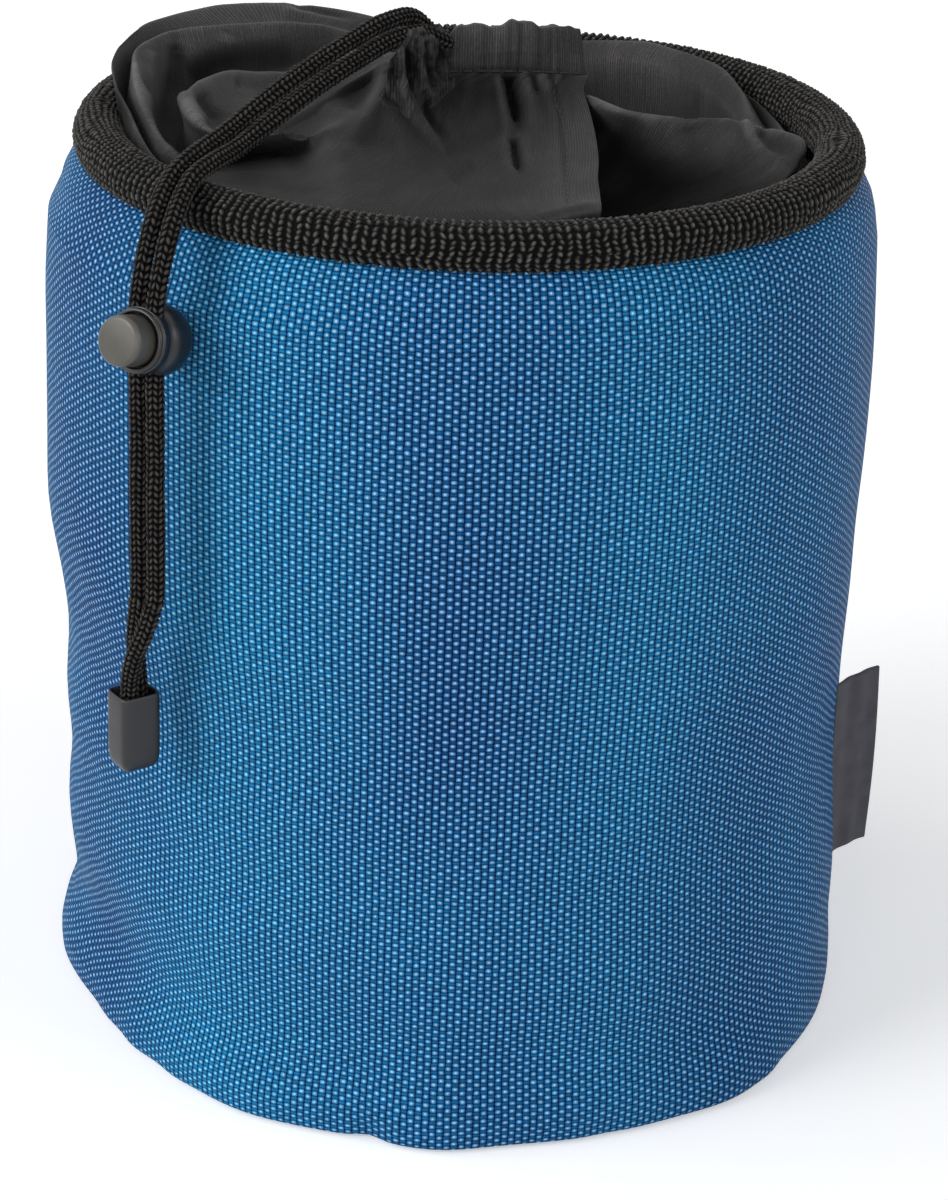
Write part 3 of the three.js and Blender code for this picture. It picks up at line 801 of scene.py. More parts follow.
def make_rim(around=1900, section=156):
    angle = circle(around) - math.pi
    turn = circle(section)
    a = (angle / TURN * RIM_STITCHES)[:, None] + 0.3 * noise(angle[:, None] * 5, turn * 2, 21)
    b = turn / TURN * RIM_ROWS + 0.8 * noise(angle[:, None] * 7, turn * 1.5, 22)
    pitch = (TURN * RIM_R / RIM_STITCHES, TURN * RIM_TUBE / RIM_ROWS)
    h = knit_height(a, b, *pitch, (0.84, 0.52), math.radians(32), 0.2)
    radius = RIM_TUBE - RIM_RELIEF + RIM_RELIEF * h
    z = rim_middle(angle)[:, None] + radius * np.sin(turn)
    sizes = ((around, RIM_R), (section, RIM_TUBE))
    uv = np.meshgrid(*(np.arange(n + 1) / n * TURN * r for n, r in sizes), indexing="ij")
    pts = polar(RIM_R + radius * np.cos(turn), angle, z)
    ob = grid_piece("binding", pts, np.stack(uv, axis=-1), wrap_u=True, wrap_v=True)
    # Stitch heights, which the material turns into painted highlights on the crowns and painted shade in the
    # gaps
    point_values(ob, "crown", h)
    tape = knit_cloth("rim_tape", rgba(9, 9, 10), rgba(90, 88, 84), 0.08)
    return placed(ob, "bag", "rim_tape", tape, "rim_binding", "rim_hoop")


rim = make_rim()


# The collar

# The oval that the collar's rows are measured towards: its middle, half width and half depth
FOLD_RING = (6, 34, 31, 23)
# How far off their lines the collar's last row, the casing's seam and the hem's stitches lie
CASING_INSET = np.array([0, -0.15, 0.9])
SEAM_LIFT = np.array([0, 0.12, 1.3])
HEM_LIFT = np.array([0, -0.1, 0.12])
# The line of the casing's lower edge: from its free end at the front right, round and back under it
CASING_LINE = [
    (24.7, 15, 203.6), (19, 12.8, 204.3), (12, 11.0, 204.8), (3, 10.1, 204.8), (-4.5, 9.9, 204.5),
    (-9.6, 12.4, 203.6), (-12.4, 17.5, 202.6), (-13.3, 24, 201), (-12.8, 33, 198), (-9, 43, 194),
    (-1, 51, 191), (8, 52.6, 190.3), (17, 48, 192), (22.5, 39, 195), (23.6, 30, 198.5),
    (20.5, 22.5, 201), (13, 17.6, 202.5),
]
# How far along that line each column of the collar ends
CASING_SHARES = [
    (0, 0.0), (3, 0.12), (5, 0.24), (7, 0.3), (10, 0.38), (14, 0.5), (17, 0.6), (20, 0.72), (22, 0.8),
    (25, 0.9), (30, 1.0),
]

# Rows from the rim's inside to the casing: (column, azimuth, share of the way to the ring, height)
ROWS = [
    # Tuck behind the binding
    [(0, 291, 0.045, 197.4), (1.2, 285, 0.02, 196.8), (2.2, 277, -0.05, 190), (3, 268, -0.08, 188.5),
     (6, 220, -0.08, 188.5), (12, 150, -0.06, 188), (18, 80, -0.06, 187), (24, 10, -0.06, 188),
     (30, -80, -0.06, 188)],
    # Against the binding's inside
    [(0, 291.5, 0.06, 198.8), (1.2, 285, 0.05, 198.2), (2.2, 276, 0.03, 196), (5, 235, 0.02, 194),
     (7, 215, 0.02, 192), (9, 192, 0.0, 196), (11, 170, -0.03, 199.5), (13, 148, -0.07, 200),
     (15, 125, -0.02, 198), (17, 98, 0.03, 193), (19, 70, 0.03, 194), (22, 35, 0.03, 193),
     (24, 5, 0.02, 190), (27, -40, 0.03, 186), (30, -80, 0.04, 184)],
    # First crest: the outer fold at the back left, the strip at the back right
    [(0, 292, 0.12, 198.8), (1.5, 280, 0.11, 198), (3, 262, 0.1, 196.8), (5, 235, 0.1, 195),
     (7, 214, 0.06, 193.5), (9, 191, 0.02, 200), (10, 181, -0.04, 203.5), (11, 171, -0.1, 206),
     (12, 161, -0.14, 207), (13, 150, -0.18, 208), (14, 139, -0.17, 208), (15, 126, 0.02, 207),
     (16, 113, 0.3, 203), (17, 102, 0.3, 199), (19, 76, 0.12, 198), (22, 40, 0.08, 197),
     (24, 8, 0.1, 193), (27, -38, 0.1, 186), (30, -80, 0.1, 184)],
    # Valley between the first and the second fold
    [(0, 293, 0.22, 198), (3, 263, 0.2, 197.6), (5, 236, 0.2, 195.5), (7, 213, 0.12, 193),
     (9, 192, 0.03, 192), (10, 184, 0.0, 193), (11, 174, -0.03, 197), (12, 163, -0.05, 201),
     (13, 153, 0.0, 203), (14, 147, 0.16, 204.5), (15, 141, 0.4, 205), (16, 132, 0.6, 203),
     (17, 114, 0.5, 199), (19, 78, 0.2, 195.5), (22, 38, 0.12, 193.5), (24, 6, 0.16, 190.5),
     (27, -36, 0.1, 176), (30, -80, 0.1, 178)],
    # Second crest: the crisp edge at the left, the back layer at the right
    [(0, 294, 0.33, 198.5), (3, 264, 0.31, 198), (5, 237, 0.3, 196.5), (7, 212, 0.16, 194),
     (8, 203, 0.11, 197), (9, 194, 0.085, 200), (10, 187, 0.06, 203), (11, 177, 0.025, 205.5),
     (12, 167, -0.02, 207), (13, 157, 0.03, 207.5), (14, 155, 0.22, 207.5), (15, 153, 0.48, 207.5),
     (16, 146, 0.72, 205), (17, 125, 0.7, 201), (19, 82, 0.4, 196.5), (20, 66, 0.36, 200),
     (21, 50, 0.22, 201.5), (22, 38, 0.14, 200.5), (23, 26, 0.2, 198), (24, 12, 0.28, 195),
     (27, -32, 0.18, 166), (30, -80, 0.2, 170)],
    # The second fold's face
    [(0, 296, 0.45, 198.8), (3, 265, 0.42, 198.2), (5, 238, 0.4, 197.5), (7, 210, 0.22, 192),
     (9, 198, 0.15, 194), (10, 190, 0.13, 197.5), (11, 180, 0.08, 199.5), (12, 170, 0.08, 201),
     (13, 162, 0.13, 202), (14, 160, 0.3, 203), (15, 158, 0.54, 204), (16, 152, 0.78, 203.5),
     (17, 132, 0.8, 200), (19, 84, 0.6, 195), (20, 66, 0.55, 197), (21, 48, 0.42, 198),
     (22, 36, 0.32, 196.5), (23, 22, 0.32, 194), (24, 9, 0.36, 191.5), (27, -30, 0.34, 160),
     (30, -80, 0.36, 164)],
    # The hollow between the second and the third fold, and behind the wing
    [(0, 298, 0.58, 199.2), (3, 266, 0.55, 198.8), (5, 238, 0.5, 198.5), (7, 208, 0.35, 191),
     (9, 202, 0.24, 190), (10, 194, 0.2, 188), (11, 184, 0.2, 187), (12, 175, 0.2, 188),
     (13, 168, 0.26, 190), (14, 166, 0.4, 193), (15, 164, 0.6, 199), (16, 158, 0.82, 201),
     (17, 138, 0.86, 199), (19, 86, 0.8, 191), (20, 58, 0.8, 189), (21, 36, 0.74, 186.5),
     (22, 18, 0.64, 185), (23, 8, 0.52, 185.5), (24, 1, 0.4, 187.5), (25, -2, 0.24, 191),
     (27, -26, 0.5, 158), (30, -80, 0.5, 166)],
    # Third crest: the inner fold at the left, the wing at the right
    [(0, 300, 0.71, 199.8), (3, 266, 0.68, 199.6), (5, 237, 0.62, 200.5), (6, 224, 0.45, 199),
     (7, 214, 0.25, 200), (8, 204, 0.21, 201.5), (9, 197, 0.22, 203), (10, 190, 0.3, 204),
     (11, 186, 0.42, 204), (12, 188, 0.56, 203.2), (13, 192, 0.7, 203), (14, 190, 0.8, 203.6),
     (15, 180, 0.9, 203.4), (16, 165, 1.0, 202), (17, 145, 1.05, 199), (19, 84, 1.05, 193),
     (20, 50, 1.04, 189), (21, -45, 1.14, 187), (22, -53, 0.96, 200.6), (23, -50, 0.76, 202.2),
     (24, -40, 0.66, 201.4), (25, -18, 0.48, 199.8), (26, -6, 0.26, 197.6), (27, -4, 0.08, 195.6),
     (28, -34, 0.62, 162), (30, -80, 0.64, 176)],
    # The face under the third crest
    [(0, 302, 0.84, 200.8), (3, 266, 0.81, 200.8), (5, 235, 0.74, 202), (7, 218, 0.4, 196),
     (9, 206, 0.36, 198), (10, 201, 0.42, 200.5), (11, 199, 0.52, 201), (12, 202, 0.66, 201.6),
     (13, 204, 0.8, 202), (14, 200, 0.95, 202.6), (15, 190, 1.05, 203), (16, 172, 1.12, 201),
     (17, 150, 1.15, 198), (19, 84, 1.1, 192), (20, 45, 1.1, 188), (21, -45, 1.2, 186),
     (22, -54, 1.0, 193), (23, -52, 0.86, 194.5), (24, -46, 0.72, 194), (25, -34, 0.55, 193),
     (26, -24, 0.36, 191.5), (27, -20, 0.18, 189.5), (28, -44, 0.74, 166), (30, -80, 0.8, 188)],
    # Near the casing, and the dark hollow's floor at the right
    [(0, 303, 0.94, 202.4), (3, 266, 0.93, 202.8), (5, 232, 0.9, 203.4), (7, 220, 0.95, 203.8),
     (9, 212, 1.05, 204), (12, 206, 1.15, 203.5), (14, 200, 1.25, 202), (16, 176, 1.25, 199),
     (17, 152, 1.25, 197), (19, 84, 1.12, 191), (20, 40, 1.2, 189), (21, -40, 1.26, 187),
     (22, -60, 1.08, 186), (24, -58, 0.86, 180), (27, -64, 0.86, 172), (30, -80, 0.92, 199)],
]

# Folds of the collar: first and last column and row that they lie in, height in millimetres, half
# width and line in the picture's frame
FOLDS = [
    # The lifted end of the panel's hem, by the binding
    (-1, 4, 1, 10, 1.2, 5, [(536, 219), (562, 213), (600, 206)]),
    (-1, 4, 1, 10, -1.6, 3, [(545, 226), (572, 219), (604, 213)]),
    # The front panel: the pleat, the fold that curves down from the cord's exit, soft waves
    (-1, 6.6, 1, 10, 1.1, 5, [(500, 62), (502, 90), (505, 112), (507, 142)]),
    (-1, 6.6, 1, 10, -3.8, 8, [(505, 62), (512, 90), (519, 122)]),
    (-1, 6.6, 1, 10, -2.4, 5, [(513, 136), (519, 170)]),
    (-1, 6.6, 1, 10, 0.8, 9, [(521, 70), (531, 100), (532, 128)]),
    (-1, 6.8, 1, 10, 2.4, 6, [(404, 48), (406, 80), (409, 102), (420, 126), (442, 150)]),
    (-1, 6.8, 1, 10, -1.0, 6, [(413, 60), (417, 98), (430, 124), (450, 144)]),
    (-1, 6.6, 1, 10, -0.6, 9, [(444, 155), (482, 138), (502, 126)]),
    (-1, 6.6, 1, 10, -0.7, 8, [(450, 180), (474, 158)]),
    (-1, 6.6, 1, 10, 0.6, 12, [(440, 122), (470, 128), (500, 108)]),
    (-1, 6.6, 1, 10, -1.2, 4, [(532, 68), (537, 94)]),
    (-1, 6.6, 1, 10, 0.6, 5, [(543, 66), (548, 96)]),
    (-1, 6.6, 1, 10, 0.5, 6, [(470, 70), (468, 100), (460, 118)]),
    (-1, 6.6, 1, 10, -0.4, 4, [(552, 70), (557, 100), (561, 150), (565, 200)]),
    (-1, 8, 1, 10, 1.6, 10, [(386, 60), (379, 95), (368, 118), (352, 150)]),
    (-1, 8, 1, 10, -2.2, 14, [(372, 66), (356, 90), (340, 110)]),
    (-1, 8, 1, 10, -1.2, 18, [(320, 100), (300, 140), (296, 190)]),
    (-1, 8, 1, 10, 0.8, 14, [(395, 100), (400, 130), (418, 168)]),
    # The wing: a crease that curls down at its right end
    (20, 29, 6.5, 10, 1.0, 4, [(744, 118), (752, 141), (767, 155), (786, 164), (808, 175)]),
    (20, 29, 6.5, 10, -1.5, 7, [(758, 128), (772, 146), (792, 155)]),
    (20, 29, 6.5, 10, 0.6, 7, [(774, 146), (795, 149), (812, 157)]),
    (20, 29, 6.5, 10, -0.6, 14, [(690, 124), (700, 150), (712, 175)]),
    (20, 29, 6.5, 10, 0.5, 10, [(722, 118), (734, 142), (750, 168)]),
    # The second fold at the left: its face turns dark before the hollow
    (7, 15, 3, 6.4, -1.6, 9, [(178, 40), (176, 70), (170, 100), (164, 140)]),
    (7, 15, 3, 6.4, 0.8, 8, [(150, 50), (146, 80), (148, 120)]),
    (7, 15, 3, 6.4, 0.5, 10, [(230, 36), (226, 46)]),
    # The third fold: a peak with a lit lower side
    (6, 13, 6, 9, 1.2, 6, [(184, 95), (194, 114), (210, 128)]),
    (6, 13, 6, 9, -1.2, 7, [(198, 96), (208, 112), (220, 122)]),
    (6, 13, 6, 9, -0.8, 8, [(232, 82), (262, 86), (300, 76)]),
    # The outer fold: a crease at its right end
    (12, 16, 1, 4, -0.7, 4, [(292, 6), (318, 12), (356, 20)]),
    (12, 16, 1, 4, 0.6, 5, [(280, 12), (320, 20), (352, 26)]),
]

# Painted light and shade on the same cloth, listed in the same way: lit crests and faces painted lighter,
# hollows and the dark under folds painted darker, in doublings of its tone
PAINTED_LIGHT_AND_SHADE = [
    (-1, 4, 0, 10, -2.2, 3, [(545, 227), (572, 221), (604, 215)]),
    # The panel painted darker, painted shade where it falls away under the cords, and painted light and shade
    # along its folds
    (-1, 8, 1, 10.5, -1.3, 260, [(330, 140), (560, 130)]),
    (-1, 9, 1, 10, -0.9, 24, [(232, 160), (300, 190), (340, 205)]),
    (-1, 9, 1, 10, -0.5, 26, [(250, 120), (290, 150)]),
    (-1, 9, 1, 10, -1.1, 13, [(372, 68), (352, 88), (330, 100)]),
    (-1, 8, 1, 10, 0.5, 8, [(387, 66), (381, 92), (371, 116)]),
    (-1, 7, 1, 10, 0.6, 4, [(403, 62), (405, 92), (414, 120), (434, 140)]),
    (-1, 7, 1, 10, -0.5, 7, [(414, 62), (420, 98), (436, 124)]),
    (-1, 7, 1, 10, -1.1, 6, [(506, 66), (512, 92), (519, 118)]),
    (-1, 7, 1, 10, 0.45, 5, [(498, 66), (500, 90), (504, 116)]),
    # The outer fold
    (9, 16, 1, 3.4, 0.35, 30, [(150, 30), (300, 12)]),
    (8, 12, 1, 3.6, -1.2, 7, [(116, 84), (122, 104), (131, 128)]),
    (12, 16, 1, 3.6, -0.7, 4, [(296, 9), (330, 15), (362, 24)]),
    # The second fold: painted highlight on its edge, and a band of painted shade on its face
    (8, 16, 3, 5.4, 0.9, 60, [(140, 80), (320, 50)]),
    (8, 12, 3, 6, 0.7, 9, [(138, 60), (134, 84), (140, 108)]),
    (8, 14, 3, 6.4, -1.3, 8, [(178, 52), (176, 78), (172, 96)]),
    (8, 15, 3, 6.6, -0.8, 10, [(190, 78), (214, 60), (240, 52)]),
    (8, 16, 4.8, 6.9, -2.9, 17, [(184, 78), (214, 62), (250, 56), (306, 56)]),
    # The third fold
    (6, 14, 6.4, 9.5, 0.45, 40, [(190, 110), (300, 90)]),
    (6, 12, 6, 9.5, 0.8, 6, [(187, 96), (192, 108), (204, 122)]),
    (6, 12, 6, 9.5, -0.7, 8, [(202, 92), (212, 108), (226, 120)]),
    # The back layer and the strip behind it
    (19, 25, 3, 6, 0.5, 70, [(600, 80), (720, 85)]),
    (22, 27, 3, 6, -1.2, 9, [(744, 74), (754, 92), (760, 110)]),
    # The wing: painted highlight on its crest, and painted shade under it
    (21, 28, 6.4, 8, 0.6, 6, [(592, 102), (640, 113), (684, 120), (726, 114), (770, 121), (812, 136)]),
    (21, 28, 7, 10, -0.8, 12, [(770, 135), (792, 150), (806, 170)]),
    (21, 28, 7, 10, 0.5, 6, [(744, 122), (752, 142), (768, 156)]),
    (20, 30, 6.8, 10.5, -1.9, 26, [(604, 138), (640, 160), (700, 182), (780, 196)]),
]


def line_distance(x, y, line):
    """Distance to a line, and the share of the way along it."""
    pts = np.asarray(line, float)
    run = np.concatenate([[0], np.cumsum(np.linalg.norm(np.diff(pts, axis=0), axis=1))])
    best, along = np.full(x.shape, 1e9), np.zeros(x.shape)
    for k, (p, d) in enumerate(zip(pts, np.diff(pts, axis=0))):
        t = np.clip(((x - p[0]) * d[0] + (y - p[1]) * d[1]) / (d @ d), 0, 1)
        dist = np.hypot(x - p[0] - t * d[0], y - p[1] - t * d[1])
        near = dist < best
        best = np.where(near, dist, best)
        along = np.where(near, (run[k] + t * (run[k + 1] - run[k])) / run[-1], along)
    return best, along


def strokes(marks, pts, t, at):
    """The sum of soft strokes, each along a line in the picture's frame, at the collar's points."""
    x, y = picture_place(pts)
    out = np.zeros(x.shape)
    for first, last, upper, lower, high, half, line in marks:
        columns = smooth(t, first, first + 0.5) * (1 - smooth(t, last - 0.5, last))
        rows = smooth(at, upper - 0.3, upper + 0.3) * (1 - smooth(at, lower - 0.1, lower + 0.3))
        dist, along = line_distance(x, y, line)
        ends = 0.25 + 0.75 * smooth(along, 0, 0.1) * (1 - smooth(along, 0.7, 1.0))
        out += columns[:, None] * rows * high * ends * hill(dist, 0, half)
    return out


def marks_sum(x, y, marks):
    """The sum of plain strokes: each a height, a half width and a line in the picture's frame."""
    return sum(high * hill(line_distance(x, y, line)[0], 0, half) for high, half, line in marks)


def collar_control(columns):
    """The rows' points for so many columns, with the casing's line as the last row."""
    t = np.linspace(0, ROWS[0][-1][0], columns)
    middle_x, middle_y, half_x, half_y = FOLD_RING
    control = []
    for row in ROWS:
        column, *values = np.array(row, float).T
        az, share, z = (natural(t, column, value) for value in values)
        c, s = np.cos(np.radians(az)), np.sin(np.radians(az))
        x = RIM_INNER * c * (1 - share) + (middle_x + half_x * c) * share
        y = RIM_INNER * s * (1 - share) + (middle_y + half_y * s) * share
        control.append(np.stack([x, y, z], axis=1))
    line, _ = even_path(CASING_LINE, 0.2)
    place = natural(t, *np.array(CASING_SHARES, float).T) * (len(line) - 1)
    foot = np.stack([np.interp(place, np.arange(len(line)), line[:, k]) for k in range(3)], axis=1)
    control.append(foot + CASING_INSET)
    return np.stack(control), t


def across_rows(control, between, pull=0.42):
    """A smooth surface across rows of points, with so many steps between two rows."""
    n = len(control)
    at = np.linspace(0, n - 1, (n - 1) * between + 1)
    p = np.concatenate([2 * control[:1] - control[1:2], control, 2 * control[-1:] - control[-2:-1]])
    i = np.minimum(np.floor(at).astype(int), n - 2)
    a, b, c, d = p[i], p[i + 1], p[i + 2], p[i + 3]
    out = hermite(b, c, pull * (c - a), pull * (d - b), (at - i)[:, None, None])
    return np.transpose(out, (1, 0, 2)), at


def outward(pts):
    """The cloth's upper side at each point of a grid."""
    n = np.cross(np.gradient(pts, axis=1), np.gradient(pts, axis=0))
    return n / (np.linalg.norm(n, axis=-1, keepdims=True) + 1e-9)


def bend_of(pts):
    """How sharply the cloth bends: towards 1 on a crest and towards -1 in a valley."""
    normal = outward(pts)
    out = np.zeros(pts.shape[:2])
    for axis, step in ((0, 6), (1, 3)):
        size = pts.shape[axis]
        here = np.arange(size)
        after = np.take(pts, np.minimum(here + step, size - 1), axis=axis)
        before = np.take(pts, np.maximum(here - step, 0), axis=axis)
        span = np.linalg.norm(after - before, axis=-1) / 2 + 0.4
        out -= np.einsum("ijk,ijk->ij", after + before - 2 * pts, normal) / span**2
    return np.tanh(2.2 * out)


def make_collar(columns=900, between=15):
    control, t = collar_control(columns)
    pts, at = across_rows(control, between)
    normal = outward(pts)
    # Distances along the cloth, for its folds and its threads
    step_u = np.linalg.norm(np.diff(pts, axis=0), axis=-1)
    run_u = np.concatenate([[0], np.cumsum(step_u.mean(axis=1))])[:, None]
    step_v = np.linalg.norm(np.diff(pts, axis=1), axis=-1)
    run_v = np.concatenate([np.zeros((columns, 1)), np.cumsum(step_v, axis=1)], axis=1)
    last = at[-1]
    x, y = pts[..., 0], pts[..., 1]
    # Gathers that run down from the casing, and soft creases all over
    gather = 0.35 * noise(run_u / 2.6, at * 0.5, 31) + 0.3 * noise(run_u / 1.2, at * 0.6, 32)
    crease = noise(x / 13 + 0.6 * noise(x / 11, y / 11, 36), y / 26, 33)
    fine = 1 - 2 * np.abs(noise(x / 5 + y / 30, y / 19 - x / 30, 35))
    lift = smooth(at, last - 1.4, last) * gather + 0.35 * crease + 0.1 * fine + strokes(FOLDS, pts, t, at)
    lift *= smooth(at, 1.0, 2.2) * (1 - smooth(at, last - 0.12, last))
    pts = pts + lift[..., None] * normal
    uv = np.stack([np.broadcast_to(run_u, run_v.shape), run_v], axis=-1)
    ob = grid_piece("collar_cloth", pts, uv)
    # Painted light and shade: lighter on crests, darker in valleys, and the listed strokes of painted light
    # and shade
    point_values(ob, "crown", 0.9 * bend_of(pts) + strokes(PAINTED_LIGHT_AND_SHADE, pts, t, at))
    thicken(ob, NYLON_THICK)
    return placed(ob, "bag", "nylon", nylon_mat, "collar"), pts, t


def level_way(line):
    """The direction of a line, seen from above."""
    way = np.gradient(line[:, :2], axis=0)
    return way / np.linalg.norm(way, axis=1)[:, None]


def make_casing(outline=48):
    line, length = even_path(CASING_LINE, CASING_STEP)
    way = level_way(line)
    out = np.stack([-way[:, 1], way[:, 0]], axis=1)
    run = np.linspace(0, length, len(line))
    share = (run / length)[:, None]
    # Gathers: narrow upright folds, deeper where the cord comes out and its top edge dips
    bunch = 1 + 1.3 * hill(share[:, 0], EXIT_SHARE, 0.03)
    wave = bunch * (0.7 * noise(run / 2.9, 0, 41) + 0.22 * noise(run / 1.3, 0, 42))
    top = 1.1 * noise(run / 3.4, 3, 43) + 0.5 * noise(run / 1.7, 5, 44)
    top = top[:, None] - 5 * hill(share, EXIT_SHARE, 0.014)
    # The section: a flattened round, pinched by the seam near its lower edge
    turn = circle(outline)
    up_share = (1 + squared(np.sin(turn), 0.75)) / 2
    pinch = 1 - 0.2 * hill(up_share, 0.12, 0.05)
    thick = CASING_THICK / 2 * (0.3 + 0.7 * smooth(share, 0.01, 0.12))
    offset = thick * (squared(np.cos(turn), 0.5) * pinch - 1) + wave[:, None] * (0.5 + 0.5 * up_share)
    lift = CASING_TALL * up_share + top * up_share**2
    slant = 2.0 * up_share * np.exp(-share / 0.03)
    flat = line[:, None, :2] + offset[..., None] * out[:, None, :] + slant[..., None] * way[:, None, :]
    pts = np.concatenate([flat, (line[:, None, 2] + lift)[..., None]], axis=-1)
    uv = np.meshgrid(run, np.append(turn, TURN) * 4.5, indexing="ij")
    ob = tube_piece("casing_cloth", pts, np.stack(uv, axis=-1))
    # Painted light and shade: the whole casing lighter, and its gathers lighter on their crests and darker in
    # their hollows
    fold = np.gradient(np.gradient(wave)) / CASING_STEP**2
    point_values(ob, "crown", np.repeat(0.5 + 0.6 * np.tanh(0.7 * fold), outline))
    return placed(ob, "bag", "nylon", nylon_mat, "collar_casing")


# The bunched cloth round the cord's exit: rows from its top edge down, each with places in the
# picture's frame and the distance behind the bag's axis in millimetres
MOUTH = [
    [(399, 62, -1.6), (404, 50, -0.6), (409, 40, 0.8), (415, 34, 2.8), (423, 34, 5.2), (431, 39, 7.2),
     (441, 48, 9.6), (451, 54, 12)],
    [(395, 57, -4.2), (400, 47, -3.2), (406, 36, -1.8), (413, 30, 0), (422, 29, 2.4), (430, 34, 4),
     (440, 43, 6.2), (450, 49, 9.2)],
    [(390, 67, -4.6), (397, 61, -3.8), (405, 54, -2.6), (413, 50, -0.4), (423, 50, 1.6), (432, 53, 3.4),
     (441, 58, 6.2), (451, 62, 8.8)],
    [(387, 81, -2.6), (394, 80, -2.4), (402, 79, -1.6), (411, 79, 1.0), (421, 80, 1.2), (431, 80, 3.2),
     (441, 79, 5.8), (452, 74, 9.3)],
]
MOUTH_FOOT = [
    (381, 104), (390, 108), (401, 112), (412, 114), (423, 112), (433, 106), (443, 97), (454, 86),
]
# How far down from its foot, in the picture, and how far off the collar the cloth's last rows lie
MOUTH_HEM = [(-7, 0.5), (0, 0.1), (5, -0.7)]
# Its folds, and the painted light and shade on it: height or doublings, half width and line
MOUTH_DEPTHS = [
    (-1.0, 4, [(408, 50), (409, 76), (414, 96)]),
    (0.7, 4, [(401, 50), (401, 74), (405, 96)]),
    (-0.9, 3, [(426, 44), (428, 66), (434, 84)]),
    (0.5, 3, [(420, 40), (421, 66), (425, 88)]),
    (-1.2, 4, [(444, 46), (443, 58), (440, 70)]),
]
MOUTH_PAINTED_LIGHT_AND_SHADE = [
    (-1.5, 4, [(409, 54), (409, 76), (413, 96)]),
    (0.5, 3, [(400, 52), (401, 74), (404, 94)]),
    (-1.6, 6, [(446, 42), (444, 56), (440, 70)]),
    (-0.8, 4, [(427, 44), (429, 66), (434, 84)]),
    (-0.6, 4, [(418, 78), (430, 84), (442, 76)]),
    (-0.8, 60, [(400, 120), (440, 120)]),
]


def make_mouth(pts, t, across=110, down=90):
    rows = [from_picture(*np.array(row, float).T) for row in MOUTH]
    near = pts[t < 9]
    x, y = picture_place(near)
    for lower, off in MOUTH_HEM:
        closest = [np.argmin(np.hypot(x - foot_x, y - foot_y - lower)) for foot_x, foot_y in MOUTH_FOOT]
        rows.append(near.reshape(-1, 3)[closest] + off * np.array([0, -0.5, 0.8]))
    wide = np.stack([spline(row, np.linspace(0, len(row) - 1, across)) for row in rows])
    cloth = np.stack([spline(wide[:, i], np.linspace(0, len(rows) - 1, down)) for i in range(across)])
    x, y = picture_place(cloth)
    share = np.linspace(0, 1, down)
    lift = 0.45 * noise(x / 5 + noise(x / 9, y / 12, 52), y / 16, 51) + 0.2 * noise(x / 2.6, y / 6, 53)
    lift = (lift + marks_sum(x, y, MOUTH_DEPTHS)) * smooth(share, 0, 0.25) * (1 - smooth(share, 0.5, 0.95))
    cloth = cloth + lift[..., None] * outward(cloth)
    ob = grid_piece("casing_mouth", cloth, np.stack([x, y], axis=-1) / 5)
    # Painted light and shade: lighter on crests, darker in valleys, and the listed strokes of painted light
    # and shade
    point_values(ob, "crown", 0.9 * bend_of(cloth) + marks_sum(x, y, MOUTH_PAINTED_LIGHT_AND_SHADE))
    thicken(ob, NYLON_THICK)
    return placed(ob, "bag", "nylon", nylon_mat)


# A flat end of eight corners as three quads, facing back and forward
EIGHT_ENDS = (((3, 2, 1, 0), (7, 4, 3, 0), (7, 6, 5, 4)), ((0, 1, 2, 3), (0, 3, 4, 7), (4, 5, 6, 7)))


def stitches(name, path, length=2.1, gap=0.9, thick=0.26, rings=7, step=0.1):
    """A row of short stitches along a path, each a small closed body of thread with eight sides."""
    line, total = even_path(path, step)
    turn = circle(8)[:, None]
    lean = math.pi * (np.arange(rings)[:, None, None] + 0.5) / rings
    ring, side = 8 * np.arange(rings - 1)[:, None], np.arange(8)
    after = (side + 1) % 8
    skin = np.stack([ring + side, ring + after, ring + 8 + after, ring + 8 + side], axis=-1)
    back, front = (np.array(end) for end in EIGHT_ENDS)
    body = np.concatenate([skin.reshape(-1, 4), back, front + 8 * (rings - 1)])
    verts, faces = [], []
    at = 0.4
    while at + length < total:
        a, b = line[int(at / step)], line[min(int((at + length) / step), len(line) - 1)]
        at += length + gap
        way = (b - a) / np.linalg.norm(b - a)
        one = np.cross(way, [0.3, -0.8, 0.5])
        one /= np.linalg.norm(one)
        round_it = np.cos(turn) * one + np.sin(turn) * np.cross(way, one)
        points = (a + b) / 2 - (b - a) / 2 * np.cos(lean) + thick * np.sin(lean) ** 0.5 * round_it
        faces.append(body + 8 * rings * len(verts))
        verts.append(points.reshape(-1, 3))
    ob = mesh_piece(name, np.concatenate(verts), np.concatenate(faces))
    return placed(ob, "bag", "nylon", thread_mat)


def make_seams(pts):
    """The casing's seam and the free hem's."""
    line, _ = even_path(CASING_LINE, 0.5)
    seam = stitches("casing_stitches", line[2:70] + SEAM_LIFT)
    # A line at an even distance from the free edge, from the casing to the rim
    step = np.linalg.norm(np.diff(pts, axis=0), axis=-1)
    run = np.concatenate([np.zeros((1, pts.shape[1])), np.cumsum(step, axis=0)])
    rows = range(pts.shape[1] - 2, 24, -3)
    hem = [pts[np.searchsorted(run[:, k], HEM), k] + HEM_LIFT for k in rows]
    return seam, stitches("hem_stitches", hem)


def make_ring():
    """The cord in the casing."""
    line, _ = even_path(CASING_LINE, 1.0)
    way = level_way(line)
    line[:, :2] += np.stack([way[:, 1], -way[:, 0]], axis=1) * CASING_THICK / 2
    line[:, 2] += CASING_TALL / 2
    ob = cord_piece("casing_cord", line[14:-8], step=0.3, around=42)[0]
    return placed(ob, "bag", "braid", braid_mat, "drawcord_ring")


